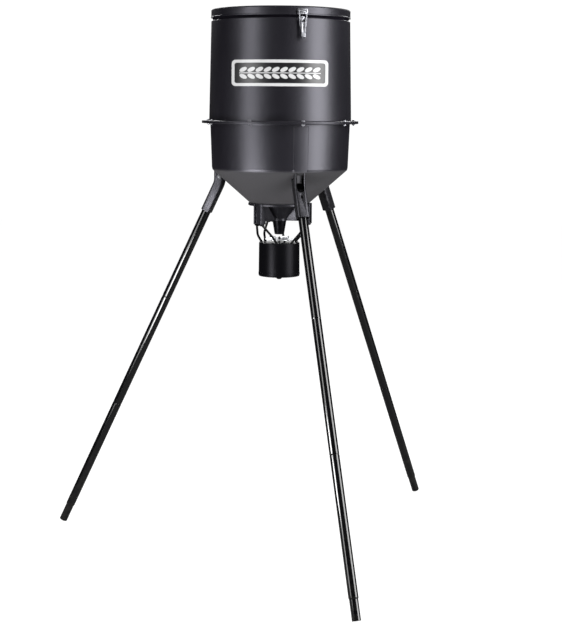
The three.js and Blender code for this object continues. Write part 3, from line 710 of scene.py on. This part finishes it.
def sink_pockets(shape):
    """Sinks the shallow panels into the lower barrel's wall."""
    low, high = HOPPER.lower_bottom, HOPPER.lower_top
    for azimuth in LEGS:
        turn = around(azimuth)
        back = turn.inverted()
        for vertex in shape.verts:
            if vertex.co.z > POCKET.top:
                continue
            spot = back @ vertex.co
            share = (spot.z - HOPPER.lower_z) / (SEAM_BOTTOM - HOPPER.lower_z)
            radius = low + (high - low) * max(share, 0) - POCKET.depth
            if abs(spot.y) < POCKET.half and spot.x > sqrt(radius**2 - spot.y**2):
                spot.x = sqrt(radius**2 - spot.y**2)
                vertex.co = turn @ spot


def lower_shell():
    wall, rise, cone_end, ledge = HOPPER.lower_wall, HOPPER.cone_rise, HOPPER.cone_end, HOPPER.ledge
    top, bottom, low = HOPPER.lower_top, HOPPER.lower_bottom, HOPPER.lower_z
    under = SEAM_BOTTOM - HOPPER.flange
    ledge_top = CONE_END + HOPPER.ledge_thickness
    taper = (top - bottom) / (SEAM_BOTTOM - low)
    pocket_edge = [(bottom + (z - low) * taper, z) for z in (POCKET.top, POCKET.top + 1)]
    outline = [
        (ledge, CONE_END, 1), (cone_end, CONE_END, 4), (bottom - 2, cone_height(bottom - 2), 1.5),
        (bottom, low, 2.5), *pocket_edge, (top, under, 2.5),
        (FLANGE_RADIUS, under, 1.6), (FLANGE_RADIUS, SEAM_BOTTOM, 0.8), (top - wall, SEAM_BOTTOM, 1),
        (bottom - wall, cone_height(bottom - wall) + rise, 6),
        (cone_end + (ledge_top - CONE_END - rise) / HOPPER.slope, ledge_top, 3), (ledge, ledge_top, 1),
    ]
    shell = turned(outline, angles=pocket_angles())
    sink_pockets(shell)
    return shell


def lug(azimuth):
    low, outer, embed = LUG.bottom, LUG.outer, LUG.embed
    inner = HOPPER.cone_end + (low - embed - CONE_END) / HOPPER.slope
    side = [(inner, low), (outer, low, 3), (outer, cone_height(outer) + embed)]
    return moved(prism(side, -LUG.half, LUG.half, "y"), around(azimuth))


def cross_bolt_hole(half):
    return laid(drill(BOLT.hole, half), CROSS_BOLT.reach, 0, CROSS_BOLT.z)


def lower_barrel(plastic):
    shell = fused(lower_shell(), *[lug(a) for a in LEGS])
    holes = [moved(cross_bolt_hole(2 * LUG.half), around(a)) for a in LEGS]
    piece("lower_barrel", carved(shell, *flange_holes(), *holes), plastic)


def lid(plastic):
    thickness, bead, raised = 3.5, 0.9, 0.9
    inside, outside = LID_RADIUS - thickness, LID_RADIUS + bead
    rim, step = LID_RADIUS - 23, LID_RADIUS * 0.6
    floor, under = LID_TOP - 2.5, LID_TOP - thickness
    lower = floor - thickness
    outline = [
        (inside, SKIRT, 0.4), (outside, SKIRT, 0.8), (outside, SKIRT + 3.2, 1), (LID_RADIUS, SKIRT + 4.4, 1),
        (LID_RADIUS, LID_TOP, 5.5), (rim, LID_TOP, 2.5), (rim - 3.5, floor, 2),
        (step + 2, floor, 1.5), (step, floor + raised, 1.5), (0, floor + raised),
        (0, lower + raised), (step - 1, lower + raised), (step + 1, lower),
        (rim - 5, lower), (rim - 2, under), (inside, under, 2.5),
    ]
    piece("lid", turned(outline, FINE), plastic)


def lid_gasket(rubber):
    outer, bottom, top = extent("lid_gasket")
    inner = outer - 2 * HOPPER.wall
    outline = [(inner, bottom, 1.5), (outer, bottom, 1.5), (outer, top, 1.5), (inner, top, 1.5)]
    piece("lid_gasket", turned(outline, FINE), rubber)


def label_rows(half_width, half_height):
    """Heights and half widths of the label's rows, bottom to top."""
    corner, arc_rows, flat_rows = LABEL.corner, 8, 10
    turns = [pi / 2 * i / arc_rows for i in range(arc_rows + 1)]
    lower = [(-half_height + corner * (1 - cos(t)), half_width - corner * (1 - sin(t))) for t in turns]
    flat = half_height - corner
    middle = [(-flat + 2 * flat * i / flat_rows, half_width) for i in range(1, flat_rows)]
    return lower + middle + [(-v, reach) for v, reach in reversed(lower)]


def front_label(film):
    """A film with round corners that follows the barrel's wall."""
    low, high = box_mm("front_label")
    centre, half = centre_of("front_label"), (high - low) / 2
    columns = 96

    def wall_at(z):
        share = (z - SEAM_TOP) / (HOPPER.shoulder - SEAM_TOP)
        return HOPPER.seam + (HOPPER.top - HOPPER.seam) * share

    shape = bmesh.new()
    rims = []
    for height in (LABEL.lift, LABEL.lift + LABEL.skin):
        grid = []
        for v, reach in label_rows(half.x, half.z):
            z = centre.z + v
            radius = wall_at(z) + height
            xs = [centre.x + reach * (2 * i / columns - 1) for i in range(columns + 1)]
            grid.append([shape.verts.new((x, -sqrt(radius * radius - x * x), z)) for x in xs])
        for below, above in zip(grid, grid[1:]):
            for i in range(columns):
                shape.faces.new((below[i], below[i + 1], above[i + 1], above[i]))
        right = [row[-1] for row in grid[1:-1]]
        left = [row[0] for row in reversed(grid[1:-1])]
        rims.append(grid[0] + right + grid[-1][::-1] + left)
    bridge(shape, *rims)
    piece("front_label", closed(shape), film)


def hex_head(radius, height):
    head = turned([(0, 0), (radius, 0), (radius, height), (0, height)], 6)
    dome = [(0, -1), (radius * 1.2, -1), (radius * 1.2, height - 1.6), (radius * 0.72, height), (0, height)]
    return softened(combined(head, [turned(dome, SMALL)], "INTERSECT"), 0.15, 30, 1)


def washer_and_head():
    """A washer with a hexagon head or nut on it, from height 0 up."""
    radius, plate = BOLT.washer, BOLT.plate
    washer = turned([(0, 0), (radius, 0, 0.3), (radius, plate, 0.3), (0, plate)], SMALL)
    return gathered(washer, shifted(hex_head(BOLT.head, BOLT.height), 0, 0, plate))


def threaded_rod(radius, length, pitch=1.0):
    """An upright rod with rings for its thread, from height 0."""
    outline = [(0, 0), (radius - 0.5, 0)]
    for i in range(int(length / pitch)):
        outline += [(radius - 0.4, (i + 0.25) * pitch), (radius, (i + 0.6) * pitch)]
    return turned(outline + [(radius - 0.5, length), (0, length)], 20)


def flange_bolts(zinc):
    under = SEAM_BOTTOM - HOPPER.flange - SEAT
    over = SEAM_TOP + HOPPER.flange + SEAT
    bottom = under - BOLT.plate - BOLT.height - BOLT.tail
    shape = gathered(
        shifted(threaded_rod(BOLT.radius, over - bottom), 0, 0, bottom),
        shifted(washer_and_head(), 0, 0, over),
        shifted(spun(washer_and_head(), pi), 0, 0, under),
    )
    shifted(shape, BOLT_CIRCLE)
    for number, azimuth in enumerate(BOLTS, 1):
        piece(f"flange_bolt_{number}", shape, zinc, station(azimuth))


# ---- Draw latches ----


def rivet(radius, reach, y, z):
    """A domed rivet head that stands on a plate facing +X."""
    dome = turned([(0, -1.5), (radius, -1.5), (radius, 0.3, 0.6), (radius * 0.55, 1.1, 1), (0, 1.2)], 24)
    return shifted(spun(dome, pi / 2, "Y"), reach, y, z)


def latch_strike():
    """A plate with a lip for the bail."""
    sheet, shelf, z, half = LATCH.sheet, LATCH.shelf, LATCH.strike_z, 12
    back = LID_RADIUS + GAP
    front = back + sheet
    lip = LATCH.bail_r - LATCH.wire - 0.4
    top = shelf + 4.6
    outline = [
        (front - 1, shelf), (lip, shelf, sheet), (lip, top, 0.7),
        (lip - sheet, top, 0.7), (lip - sheet, shelf + sheet, 0.8), (front - 1, shelf + sheet),
    ]
    shape = softened(fused(slab(37, 17.5, 6, back, front, z), prism(outline, -half, half, "y")), 0.35)
    return gathered(shape, *[rivet(3.1, front, y, z + 2.7) for y in (-14, 14)])


def latch_base():
    back = LATCH.wall + 0.6
    front = back + LATCH.sheet
    r, z, eye = LATCH.pivot_r, LATCH.pivot_z, 3.4
    outline = [
        (front - 1, z - 5), (r, z - eye, 2), (r + eye, z - eye, 3.3),
        (r + eye, z + eye, 3.3), (front - 1, z + 4.5),
    ]
    ears = [prism(outline, y, y + 1.4, "y") for y in (-5.8, 4.4)]
    hole = laid(drill(LATCH.pin_hole, 10), r, 0, z)
    shape = softened(carved(fused(slab(18, 50, 5, back, front, LATCH.base_z), *ears), hole), 0.3)
    return gathered(shape, *[rivet(2.6, front, 0, LATCH.base_z + offset) for offset in (-20, 20.5)])


def latch_pin():
    half, head, rim, shank = 8.6, 2.9, 0.8, 2
    outline = [
        (0, -half), (head, -half, 0.5), (head, -half + rim), (shank, -half + rim),
        (shank, half - rim), (head, half - rim), (head, half, 0.5), (0, half),
    ]
    return laid(turned(outline, 24), LATCH.pivot_r, 0, LATCH.pivot_z)


def latch_lever():
    """A channel with a slot in its web and a tab turned out at its lower end."""
    r, z, low = LATCH.pivot_r, LATCH.pivot_z, LATCH.lever_low
    half, wall, eye, tab_half = 7.5, 1.2, 4.6, 6.6
    front = r + 5.1
    web = prism([(-half, low), (half, low), (half, z - 5), (-half, z - 5)], front - wall, front, "x")
    outline = [
        (r - 3, LATCH.cheek_low, 2), (front, low + 9), (front, z - 5),
        (r + eye, z + eye, 4.5), (r - eye, z + eye, 4.5), (r - eye, z - eye, 2),
    ]
    cheeks = [prism(outline, y, y + wall, "y") for y in (-half, half - wall)]
    middle, edge = front - wall / 2, wall / 2
    tab_path = [(middle, 0, low + 2), (middle, 0, low - 2), (front + 6.6, 0, LATCH.tab_low)]
    section = [(-edge, -tab_half), (edge, -tab_half), (edge, tab_half), (-edge, tab_half)]
    tab = swept(eased(tab_path, 3), section, (0, 1, 0))
    slot = slab(4.6, 17, 2.2, front - 4, front + 4, low + 25)
    pin_hole = laid(drill(LATCH.pin_hole, 12), r, 0, z)
    bail_hole = laid(drill(2.2, 12), LATCH.bail_r, 0, LATCH.bail_z)
    return softened(carved(fused(web, *cheeks, tab), slot, pin_hole, bail_hole), 0.3)


def latch_bail():
    r, low, high = LATCH.bail_r, LATCH.bail_z, LATCH.bail_top
    end, foot, shoulder = 5, 9.6, 13.5
    rising = [(r, end, low), (r, foot, low), (r, shoulder, high)]
    corners = [(x, -y, z) for x, y, z in rising] + rising[::-1]
    return softened(swept(eased(corners, 3), circle(LATCH.wire, 20), (1, 0, 0)), 0.4, 60, 2)


def latches(zinc, steel):
    parts = {
        "strike": (latch_strike(), zinc),
        "base": (latch_base(), zinc),
        "pin": (latch_pin(), steel),
        "lever": (latch_lever(), zinc),
        "bail": (latch_bail(), zinc),
    }
    for side, azimuth in LATCHES.items():
        for part, (shape, material) in parts.items():
            piece(f"{side}_latch_{part}", shape, material, station(azimuth))


# ---- Stand ----


def leg_reach(z):
    return LEG.reach - z * tan(LEG.tilt)


def bracket_tube(inset, extra):
    """The bracket's outside or inside: upright, then along the leg."""
    reach, low = BRACKET.reach, BRACKET.bottom - extra
    bend_z = (LEG.reach - reach) / tan(LEG.tilt)
    path = eased([(reach, 0, BRACKET.top + extra), (reach, 0, bend_z), (leg_reach(low), 0, low)], 14, 8)
    size = rectangle(BRACKET.depth - 2 * inset, BRACKET.width - 2 * inset, BRACKET.corner - inset)
    return swept(path, rounded(size, 6), (0, 1, 0))


def cone_clearance():
    margin = 1
    radius = HOPPER.lower_bottom + margin
    end = HOPPER.cone_end + margin
    low, high = COLLAR.flange, SEAM_BOTTOM
    outline = [(0, low), (end, low), (end, CONE_END - margin), (radius, cone_height(radius) - 2 * margin)]
    return turned([*outline, (radius, high), (0, high)], FINE)


def leg_bracket():
    reach, depth = BRACKET.reach, BRACKET.depth
    front = reach + WINDOW.front
    end = front + 2 * depth
    half, low, high = WINDOW.half, WINDOW.bottom, BRACKET.top + 12
    window = [(-half, high), (-half, low, half - 0.1), (half, low, half - 0.1), (half, high)]
    lug_half, lug_low = LUG.half + GAP, LUG.bottom - GAP
    lug_space = [(-lug_half, lug_low), (lug_half, lug_low), (lug_half, high), (-lug_half, high)]
    cutters = [
        bracket_tube(BRACKET.wall, 12),
        cone_clearance(),
        prism(lug_space, reach - depth, reach, "x"),
        cross_bolt_hole(BRACKET.width),
        prism(window, front, end, "x"),
        slab(*WINDOW.slot, 3.1, front, end, WINDOW.slot_z),
    ]
    return softened(carved(bracket_tube(0, 0), *cutters), 0.4, 50)


def bracket_bolt():
    half = CROSS_BOLT.half
    face = BRACKET.width / 2 + SEAT
    ends = [spun(shifted(washer_and_head(), 0, 0, face), turn) for turn in (0, pi)]
    rod = shifted(threaded_rod(BOLT.radius, 2 * half), 0, 0, -half)
    return laid(gathered(rod, *ends), CROSS_BOLT.reach, 0, CROSS_BOLT.z)


def leg_tube():
    """A tube with its lower end swaged to fit the next one, from height 0 down."""
    radius, wall, narrow = LEG.radius, LEG.wall, LEG.narrow
    body_end = -(LEG.section - GAP)
    end = -(LEG.section + LEG.swage)
    outline = [
        (narrow - wall, end, 0.3), (narrow, end, 0.5), (narrow, body_end - 1, 3), (radius, body_end + 3.5, 3),
        (radius, 0, 0.6), (radius - wall, 0, 0.3),
        (radius - wall, body_end + 2.5, 3), (narrow - wall, body_end - 2, 3),
    ]
    return turned(outline, 64)


def stand(coat, paint, steel):
    bracket, bolt, tube = leg_bracket(), bracket_bolt(), leg_tube()
    foot = LEG.narrow * sin(LEG.tilt)
    length = LEG.section * 3 + LEG.swage
    top = foot + length * cos(LEG.tilt)
    lean = Matrix.Translation((leg_reach(top), 0, top)) @ Matrix.Rotation(-LEG.tilt, 4, "Y")
    for number, azimuth in enumerate(LEGS, 1):
        piece(f"leg_bracket_{number}", bracket, coat, station(azimuth))
        piece(f"bracket_bolt_{number}", bolt, steel, station(azimuth))
        for i, level in enumerate(("upper", "middle", "lower")):
            drop = Matrix.Translation((0, 0, -i * LEG.section))
            piece(f"leg_{level}_{number}", tube, paint, station(azimuth) @ lean @ drop)


# ---- Outlet ----


def collar_post(azimuth):
    """An upright channel, open outwards."""
    u, v = POST.depth / 2, POST.width / 2
    rib, recess, edge, inner = 7, 7, 3.4, 1.5
    outline = [
        (-u, -v, 2), (u, -v, edge), (u, -v + rib, inner), (u - recess, -v + rib, inner),
        (u - recess, v - rib, inner), (u, v - rib, inner), (u, v, edge), (-u, v, 2),
    ]
    post = prism(outline, POST.bottom, COLLAR.top - 0.2)
    lower = [e for e in post.edges if all(v.co.z < POST.bottom + 0.1 for v in e.verts)]
    return moved(shifted(bevelled(post, lower, 2.2, 3), POST.reach), around(azimuth))


def collar_web(azimuth):
    half = COLLAR.web / 2
    near, far, low, high = COLLAR.hub - 1, POST.reach, COLLAR.bottom, COLLAR.flange + 1
    outline = [(near, low), (far, low), (far, high), (near, high)]
    return moved(softened(prism(outline, -half, half, "y"), 1.0), around(azimuth))


def outlet_collar(plastic):
    hub, cone, bottom, flange = COLLAR.hub, COLLAR.cone, COLLAR.bottom, COLLAR.flange
    top, seat, socket = COLLAR.top, COLLAR.socket, extent("outlet_spout")[0] + GAP
    outline = [
        (socket, bottom, 0.6), (hub, bottom, 1), (hub, bottom + 8, 3), (cone, flange, 3),
        (COLLAR.radius, flange, 2.2), (COLLAR.radius, top, 2.2), (HOPPER.ledge - 4, top, 2),
        (cone - COLLAR.wall, flange + 1, 4), (COLLAR.throat, seat, 1), (socket, seat, 0.3),
    ]
    webs = [collar_web(a) for a in POSTS]
    posts = [collar_post(a) for a in POSTS]
    piece("outlet_collar", fused(turned(outline), *webs, *posts), plastic)


def outlet_spout(plastic):
    top_radius, bottom, top = extent("outlet_spout")
    foot, wall, waist = 16.6, 2.4, COLLAR.bottom
    inner = top_radius - wall - 1
    outline = [
        (foot - wall, bottom, 0.8), (foot, bottom, 1), (top_radius, waist, 6),
        (top_radius, top, 0.6), (inner, top, 0.6), (inner, waist + 2, 6),
    ]
    piece("outlet_spout", turned(outline), plastic)


def hanger_arms(coat):
    """A plate under each post, with two bent rods and two bolt heads."""
    length, width, thickness = HANGER.pad
    pad_top, foot_z = POST.bottom - GAP, UNIT_TOP + GAP
    foot, angle = HANGER.foot, HANGER.foot_angle
    knee_reach, knee_spread = HANGER.knee
    knee_z = pad_top - HANGER.drop * (pad_top - foot_z)
    head, head_height, head_spread = 3.4, 2.2, 7
    plate = shifted(prism(rectangle(length, width, 5), pad_top - thickness, pad_top), POST.reach)
    bars, heads = [], []
    for side in (-1, 1):
        x, y = HANGER.foot_reach * cos(angle), side * HANGER.foot_reach * sin(angle)
        bars.append(shifted(turned([(0, 0), (foot, 0, 0.5), (foot, foot, 1), (0, foot)], 24), x, y, foot_z))
        corners = [
            (POST.reach, side * HANGER.top, pad_top - HANGER.sunk_top),
            (knee_reach, side * knee_spread, knee_z),
            (x, y, foot_z + foot - HANGER.sunk_foot),
        ]
        bars.append(swept(eased(corners, 12, 8), circle(HANGER.wire, 20), (0, 1, 0.2)))
        bolt = hex_head(head, head_height)
        heads.append(shifted(bolt, POST.reach, side * head_spread, pad_top - thickness - head_height))
    shape = gathered(fused(softened(plate, 0.8), *bars), *heads)
    for number, azimuth in enumerate(POSTS, 1):
        piece(f"hanger_arm_{number}", shape, coat, station(azimuth))


# ---- Power unit ----


def unit_housing(plastic):
    wall, plate, hole, boss, dish = 2.5, 3, 5.5, 11, 0.8
    radius, bottom, top = UNIT_RADIUS, UNIT_BOTTOM, UNIT_TOP
    top_radius = radius - 1.5
    outline = [
        (radius - wall, bottom, 0.4), (radius, bottom, 0.8), (radius, bottom + 7, 0.6),
        (radius - 0.7, bottom + 7.7, 0.6), (top_radius, top, 3.5), (boss + 1, top, 0.4),
        (boss, top - dish, 0.4), (hole, top - dish, 0.4), (hole, top - plate),
        (top_radius - wall, top - plate, 2),
    ]
    piece("unit_housing", turned(outline, 128), plastic)


def drive_motor(steel):
    radius, bottom, top = extent("drive_motor")
    bore, groove, depth = SHAFT_RADIUS + GAP, radius - 0.5, 10
    outline = [
        (0, bottom), (radius - 4, bottom, 0.5), (radius - 3.2, bottom + 1, 0.5), (radius, bottom + 1, 1),
        (radius, top - 6, 0.4), (groove, top - 5.6, 0.3), (groove, top - 4.6, 0.3), (radius, top - 4.2, 0.4),
        (radius, top, 0.8), (bore, top), (bore, bottom + depth), (0, bottom + depth),
    ]
    piece("drive_motor", turned(outline, 64), steel)


def motor_shaft(steel):
    radius, bottom, top = extent("motor_shaft")
    plate_z = SPINNER.z
    outline = [(0, bottom), (radius, bottom, 0.4), (radius, plate_z - 4)]
    for i in range(int(top - plate_z + 3)):
        height = plate_z - 3 + i
        outline += [(radius - 0.35, height), (radius, height + 0.5)]
    piece("motor_shaft", turned(outline + [(radius - 0.5, top), (0, top)], 24), steel)


def spinner_plate(sheet):
    radius, z, thickness, hub = SPINNER.radius, SPINNER.z, SPINNER.thickness, SPINNER.hub
    bore, top = SHAFT_RADIUS + GAP, z + thickness
    outline = [
        (bore, z - 5, 0.3), (hub, z - 5, 0.8), (hub, z, 0.8), (radius - 3, z, 1),
        (radius, z - 1.2, 0.6), (radius, z + 0.4, 0.6), (radius - 3, top, 1), (bore, top, 0.3),
    ]
    blades = []
    for i in range(4):
        side = [(14, z + 0.5), (radius - 2, z + 0.5), (radius - 2, top + 7, 3), (16, top + 7, 5)]
        blades.append(spun(softened(prism(side, -0.8, 0.8, "y"), 0.3), pi / 4 + i * pi / 2, "Z"))
    piece("spinner_plate", fused(turned(outline), *blades), sheet)


def spinner_nut(zinc):
    _, bottom, top = extent("spinner_nut")
    nut = carved(hex_head(BOLT.head, top - bottom), drill(SHAFT_RADIUS + 0.2, 9))
    piece("spinner_nut", shifted(nut, 0, 0, bottom), zinc)


def battery(case):
    low, high = box_mm("battery")
    length, width, _ = high - low
    body = softened(prism(rectangle(length, width, 3), low.z, high.z - 3.4), 0.8)
    top = softened(prism(rectangle(length - 2.4, width - 2.4, 3), high.z - 4, high.z), 0.8)
    spots = [((i - 3) * length / 8, side * (width / 2 - 0.2)) for side in (-1, 1) for i in range(7)]
    ribs = [shifted(prism(rectangle(5, 1.2, 0.4), low.z + 6, high.z - 8), x, y) for x, y in spots]
    piece("battery", fused(body, top, *ribs), case)


def timer_module(case):
    """A shelf across the unit, over a box for the display and the buttons."""
    radius, face, top = extent("timer_module")
    shelf_z = top - 2.5
    lens_low, lens_high = box_mm("display_lens")
    lens = lens_high - lens_low
    shelf = turned([(0, shelf_z), (radius, shelf_z, 0.6), (radius, top, 0.6), (0, top)])
    box = softened(prism(rectangle(64, 44, 4), face, shelf_z + 1), 1.0)
    window = prism(rectangle(lens.x + 2 * GAP, lens.y + 2 * GAP, 1), face - 2, face + 1.5)
    well = [(0, face - 2), (4.3, face - 2), (4.3, face + 3.5), (0, face + 3.5)]
    places = [centre_of(name) for name in BUTTONS]
    wells = [shifted(turned(well, SMALL), x, y) for x, y, _ in places]
    cutters = [shifted(window, 0, centre_of("display_lens").y), *wells]
    piece("timer_module", carved(fused(shelf, box), *cutters), case)


def display_lens(glass):
    low, high = box_mm("display_lens")
    x, y, _ = centre_of("display_lens")
    lens = softened(prism(rectangle(high.x - low.x, high.y - low.y, 1), low.z, high.z), 0.3)
    piece("display_lens", shifted(lens, x, y), glass)


def timer_buttons(rubber):
    for name in BUTTONS:
        r, low, top = extent(name)
        x, y, _ = centre_of(name)
        outline = [(0, low + 0.3), (r * 0.6, low, 1), (r, low + 0.5, 0.6), (r, top, 0.3), (0, top)]
        piece(name, shifted(turned(outline, SMALL), x, y), rubber)


def motor_lead(sheath):
    low, high = box_mm("motor_lead")
    wire = 0.8
    start_y = extent("drive_motor")[0] + GAP
    end_y = high.y - AXIS.y / MM - 2 * wire
    level = high.z - 2 * wire
    wires = []
    for x in (-wire, wire):
        path = eased([(x, start_y, level), (x, end_y - 4, level), (x, end_y, low.z + GAP)], 10, 8)
        wires.append(swept(path, circle(wire, 16), (1, 0, 0)))
    piece("motor_lead", gathered(*wires), sheath)


def bottom_cap(plastic):
    radius, bottom, plug_top = extent("bottom_cap")
    hole, rim, plug, floor = 4.2, bottom + 5, radius - 2.6, bottom + 3.5
    outline = [
        (hole, bottom + 1, 0.3), (16, bottom + 1, 1), (17, bottom, 1), (radius, bottom, 3.4),
        (radius, rim, 0.5), (plug, rim, 0.3), (plug, plug_top, 0.8),
        (plug - 2.4, plug_top, 0.8), (plug - 2.4, floor, 1.5), (hole, floor, 0.3),
    ]
    piece("bottom_cap", turned(outline, 128), plastic)


def cap_knob(plastic):
    """A lobed knob on a stem, with a cross bar that locks above the cap."""
    _, tip, dog_top = extent("cap_knob")
    head_top = extent("bottom_cap")[1] - GAP
    radius, lobes, lobe_depth = 13, 8, 1.1
    head = turned([(0, tip), (6, tip, 2), (radius, tip + 6, 1.5), (radius, head_top, 0.8), (0, head_top)], 96)
    for vertex in head.verts:
        away = hypot(vertex.co.x, vertex.co.y)
        if away > 7:
            depth = lobe_depth * (0.5 - 0.5 * cos(lobes * atan2(vertex.co.y, vertex.co.x)))
            vertex.co.x *= (away - depth) / away
            vertex.co.y *= (away - depth) / away
    stem = turned([(0, tip + 6), (3.8, tip + 6), (3.8, dog_top), (0, dog_top)], SMALL)
    dog = softened(prism(rectangle(24, 6, 2), dog_top - 3, dog_top), 0.4)
    piece("cap_knob", fused(head, stem, dog), plastic)


# ---- Stage, in metres ----

CAMERA = Sizes(
    distance=4.6138, height=1.5586, shift=0.0079, lens=75.56,
    pitch=radians(8.918), roll=radians(0.42),
)


def add_camera():
    data = bpy.data.cameras.new("camera")
    data.lens = CAMERA.lens
    data.sensor_width = 36
    camera = placed("camera", data)
    place = Matrix.Translation((AXIS.x + CAMERA.shift, AXIS.y - CAMERA.distance, CAMERA.height))
    tilt = Matrix.Rotation(pi / 2 - CAMERA.pitch, 4, "X")
    camera.matrix_world = place @ tilt @ Matrix.Rotation(CAMERA.roll, 4, "Z")
    bpy.context.scene.camera = camera


def add_panel(name, azimuth, distance, height, size, power, aim_height=1.4):
    """A soft rectangular light that faces the hopper's axis."""
    data = bpy.data.lights.new(name, "AREA")
    data.shape = "RECTANGLE"
    data.size, data.size_y = size
    data.energy = power
    light = placed(name, data)
    light.visible_camera = False
    turn = radians(azimuth)
    light.location = AXIS + Vector((sin(turn) * distance, -cos(turn) * distance, height))
    aim = AXIS + Vector((0, 0, aim_height))
    light.rotation_euler = (light.location - aim).to_track_quat("Z", "Y").to_euler()


def add_lights():
    add_panel("left_strip", -48, 3.2, 1.95, (1.2, 3.2), 86)
    add_panel("right_strip", 61, 3.0, 1.85, (1.7, 3.3), 205)
    add_panel("low_left", -41, 1.4, 0.75, (0.5, 0.4), 22, 1.1)
    add_panel("top_panel", 0, 0.4, 4.6, (3.0, 3.0), 30)
    add_panel("rear_left", -152, 3.4, 3.7, (1.6, 1.6), 110)
    add_panel("rear_right", 152, 3.4, 3.7, (1.6, 1.6), 90)
    add_panel("back_glow", 180, 3.2, 1.45, (1.0, 0.7), 8, 1.1)


def add_world():
    """Surroundings that look white to the camera and light the object only a little."""
    world = bpy.data.worlds.new("studio")
    bpy.context.scene.world = world
    world.use_nodes = True
    tree = world.node_tree
    tree.nodes.clear()
    seen = added(tree, "Background", (1, 1, 1, 1), 1.05)
    felt = added(tree, "Background", (0.93, 0.95, 1, 1), 0.014)
    added(tree, "OutputWorld", seen_as(tree, felt.outputs[0], seen.outputs[0]))


def floor_material():
    """Pale matt floor that stays white in front of the camera and bounces only a little light."""
    look = Look("pale_floor", (0.12, 0.12, 0.12), 0.9)
    look.vary(look.noise(3, 2), 0.1)
    look.bump(look.noise(40, 2), 0.0005, 0.1)
    matt = look.shader.outputs[0]
    away = look.node("VectorMath", look.place)
    away.operation = "LENGTH"
    white = look.node("Emission", Strength=look.ranged(away.outputs["Value"], 0.9, 1.8, 0.95, 1.0))
    shaded = look.node("AddShader", white.outputs[0], matt)
    feed(look.tree.nodes["Material Output"], seen_as(look.tree, matt, shaded.outputs[0]))
    return look.done()


def add_floor():
    shape = bmesh.new()
    bmesh.ops.create_circle(shape, cap_ends=True, segments=96, radius=14)
    floor = as_object(shape, "floor")
    floor.location = AXIS
    floor.data.materials.append(floor_material())


# ---- Assembly ----


def build_feeder():
    plastic, unit, coat = barrel_plastic(), unit_plastic(), powder_coat()
    zinc, steel = bright_zinc(), dark_steel()
    upper_barrel(plastic)
    lower_barrel(cone_plastic())
    lid(lid_plastic())
    lid_gasket(foam_rubber())
    front_label(label_film())
    flange_bolts(zinc)
    latches(zinc, steel)
    stand(coat, gloss_paint(), steel)
    outlet_collar(collar_plastic())
    outlet_spout(unit)
    hanger_arms(black_rod())
    unit_housing(unit)
    drive_motor(steel)
    motor_shaft(steel)
    spinner_plate(galvanised())
    spinner_nut(zinc)
    battery(battery_case())
    timer_module(timer_case())
    display_lens(display_glass())
    timer_buttons(button_rubber())
    motor_lead(cable_sheath())
    bottom_cap(unit)
    cap_knob(unit)


bpy.context.scene.view_settings.view_transform = "Standard"
build_feeder()
add_floor()
add_world()
add_lights()
add_camera()
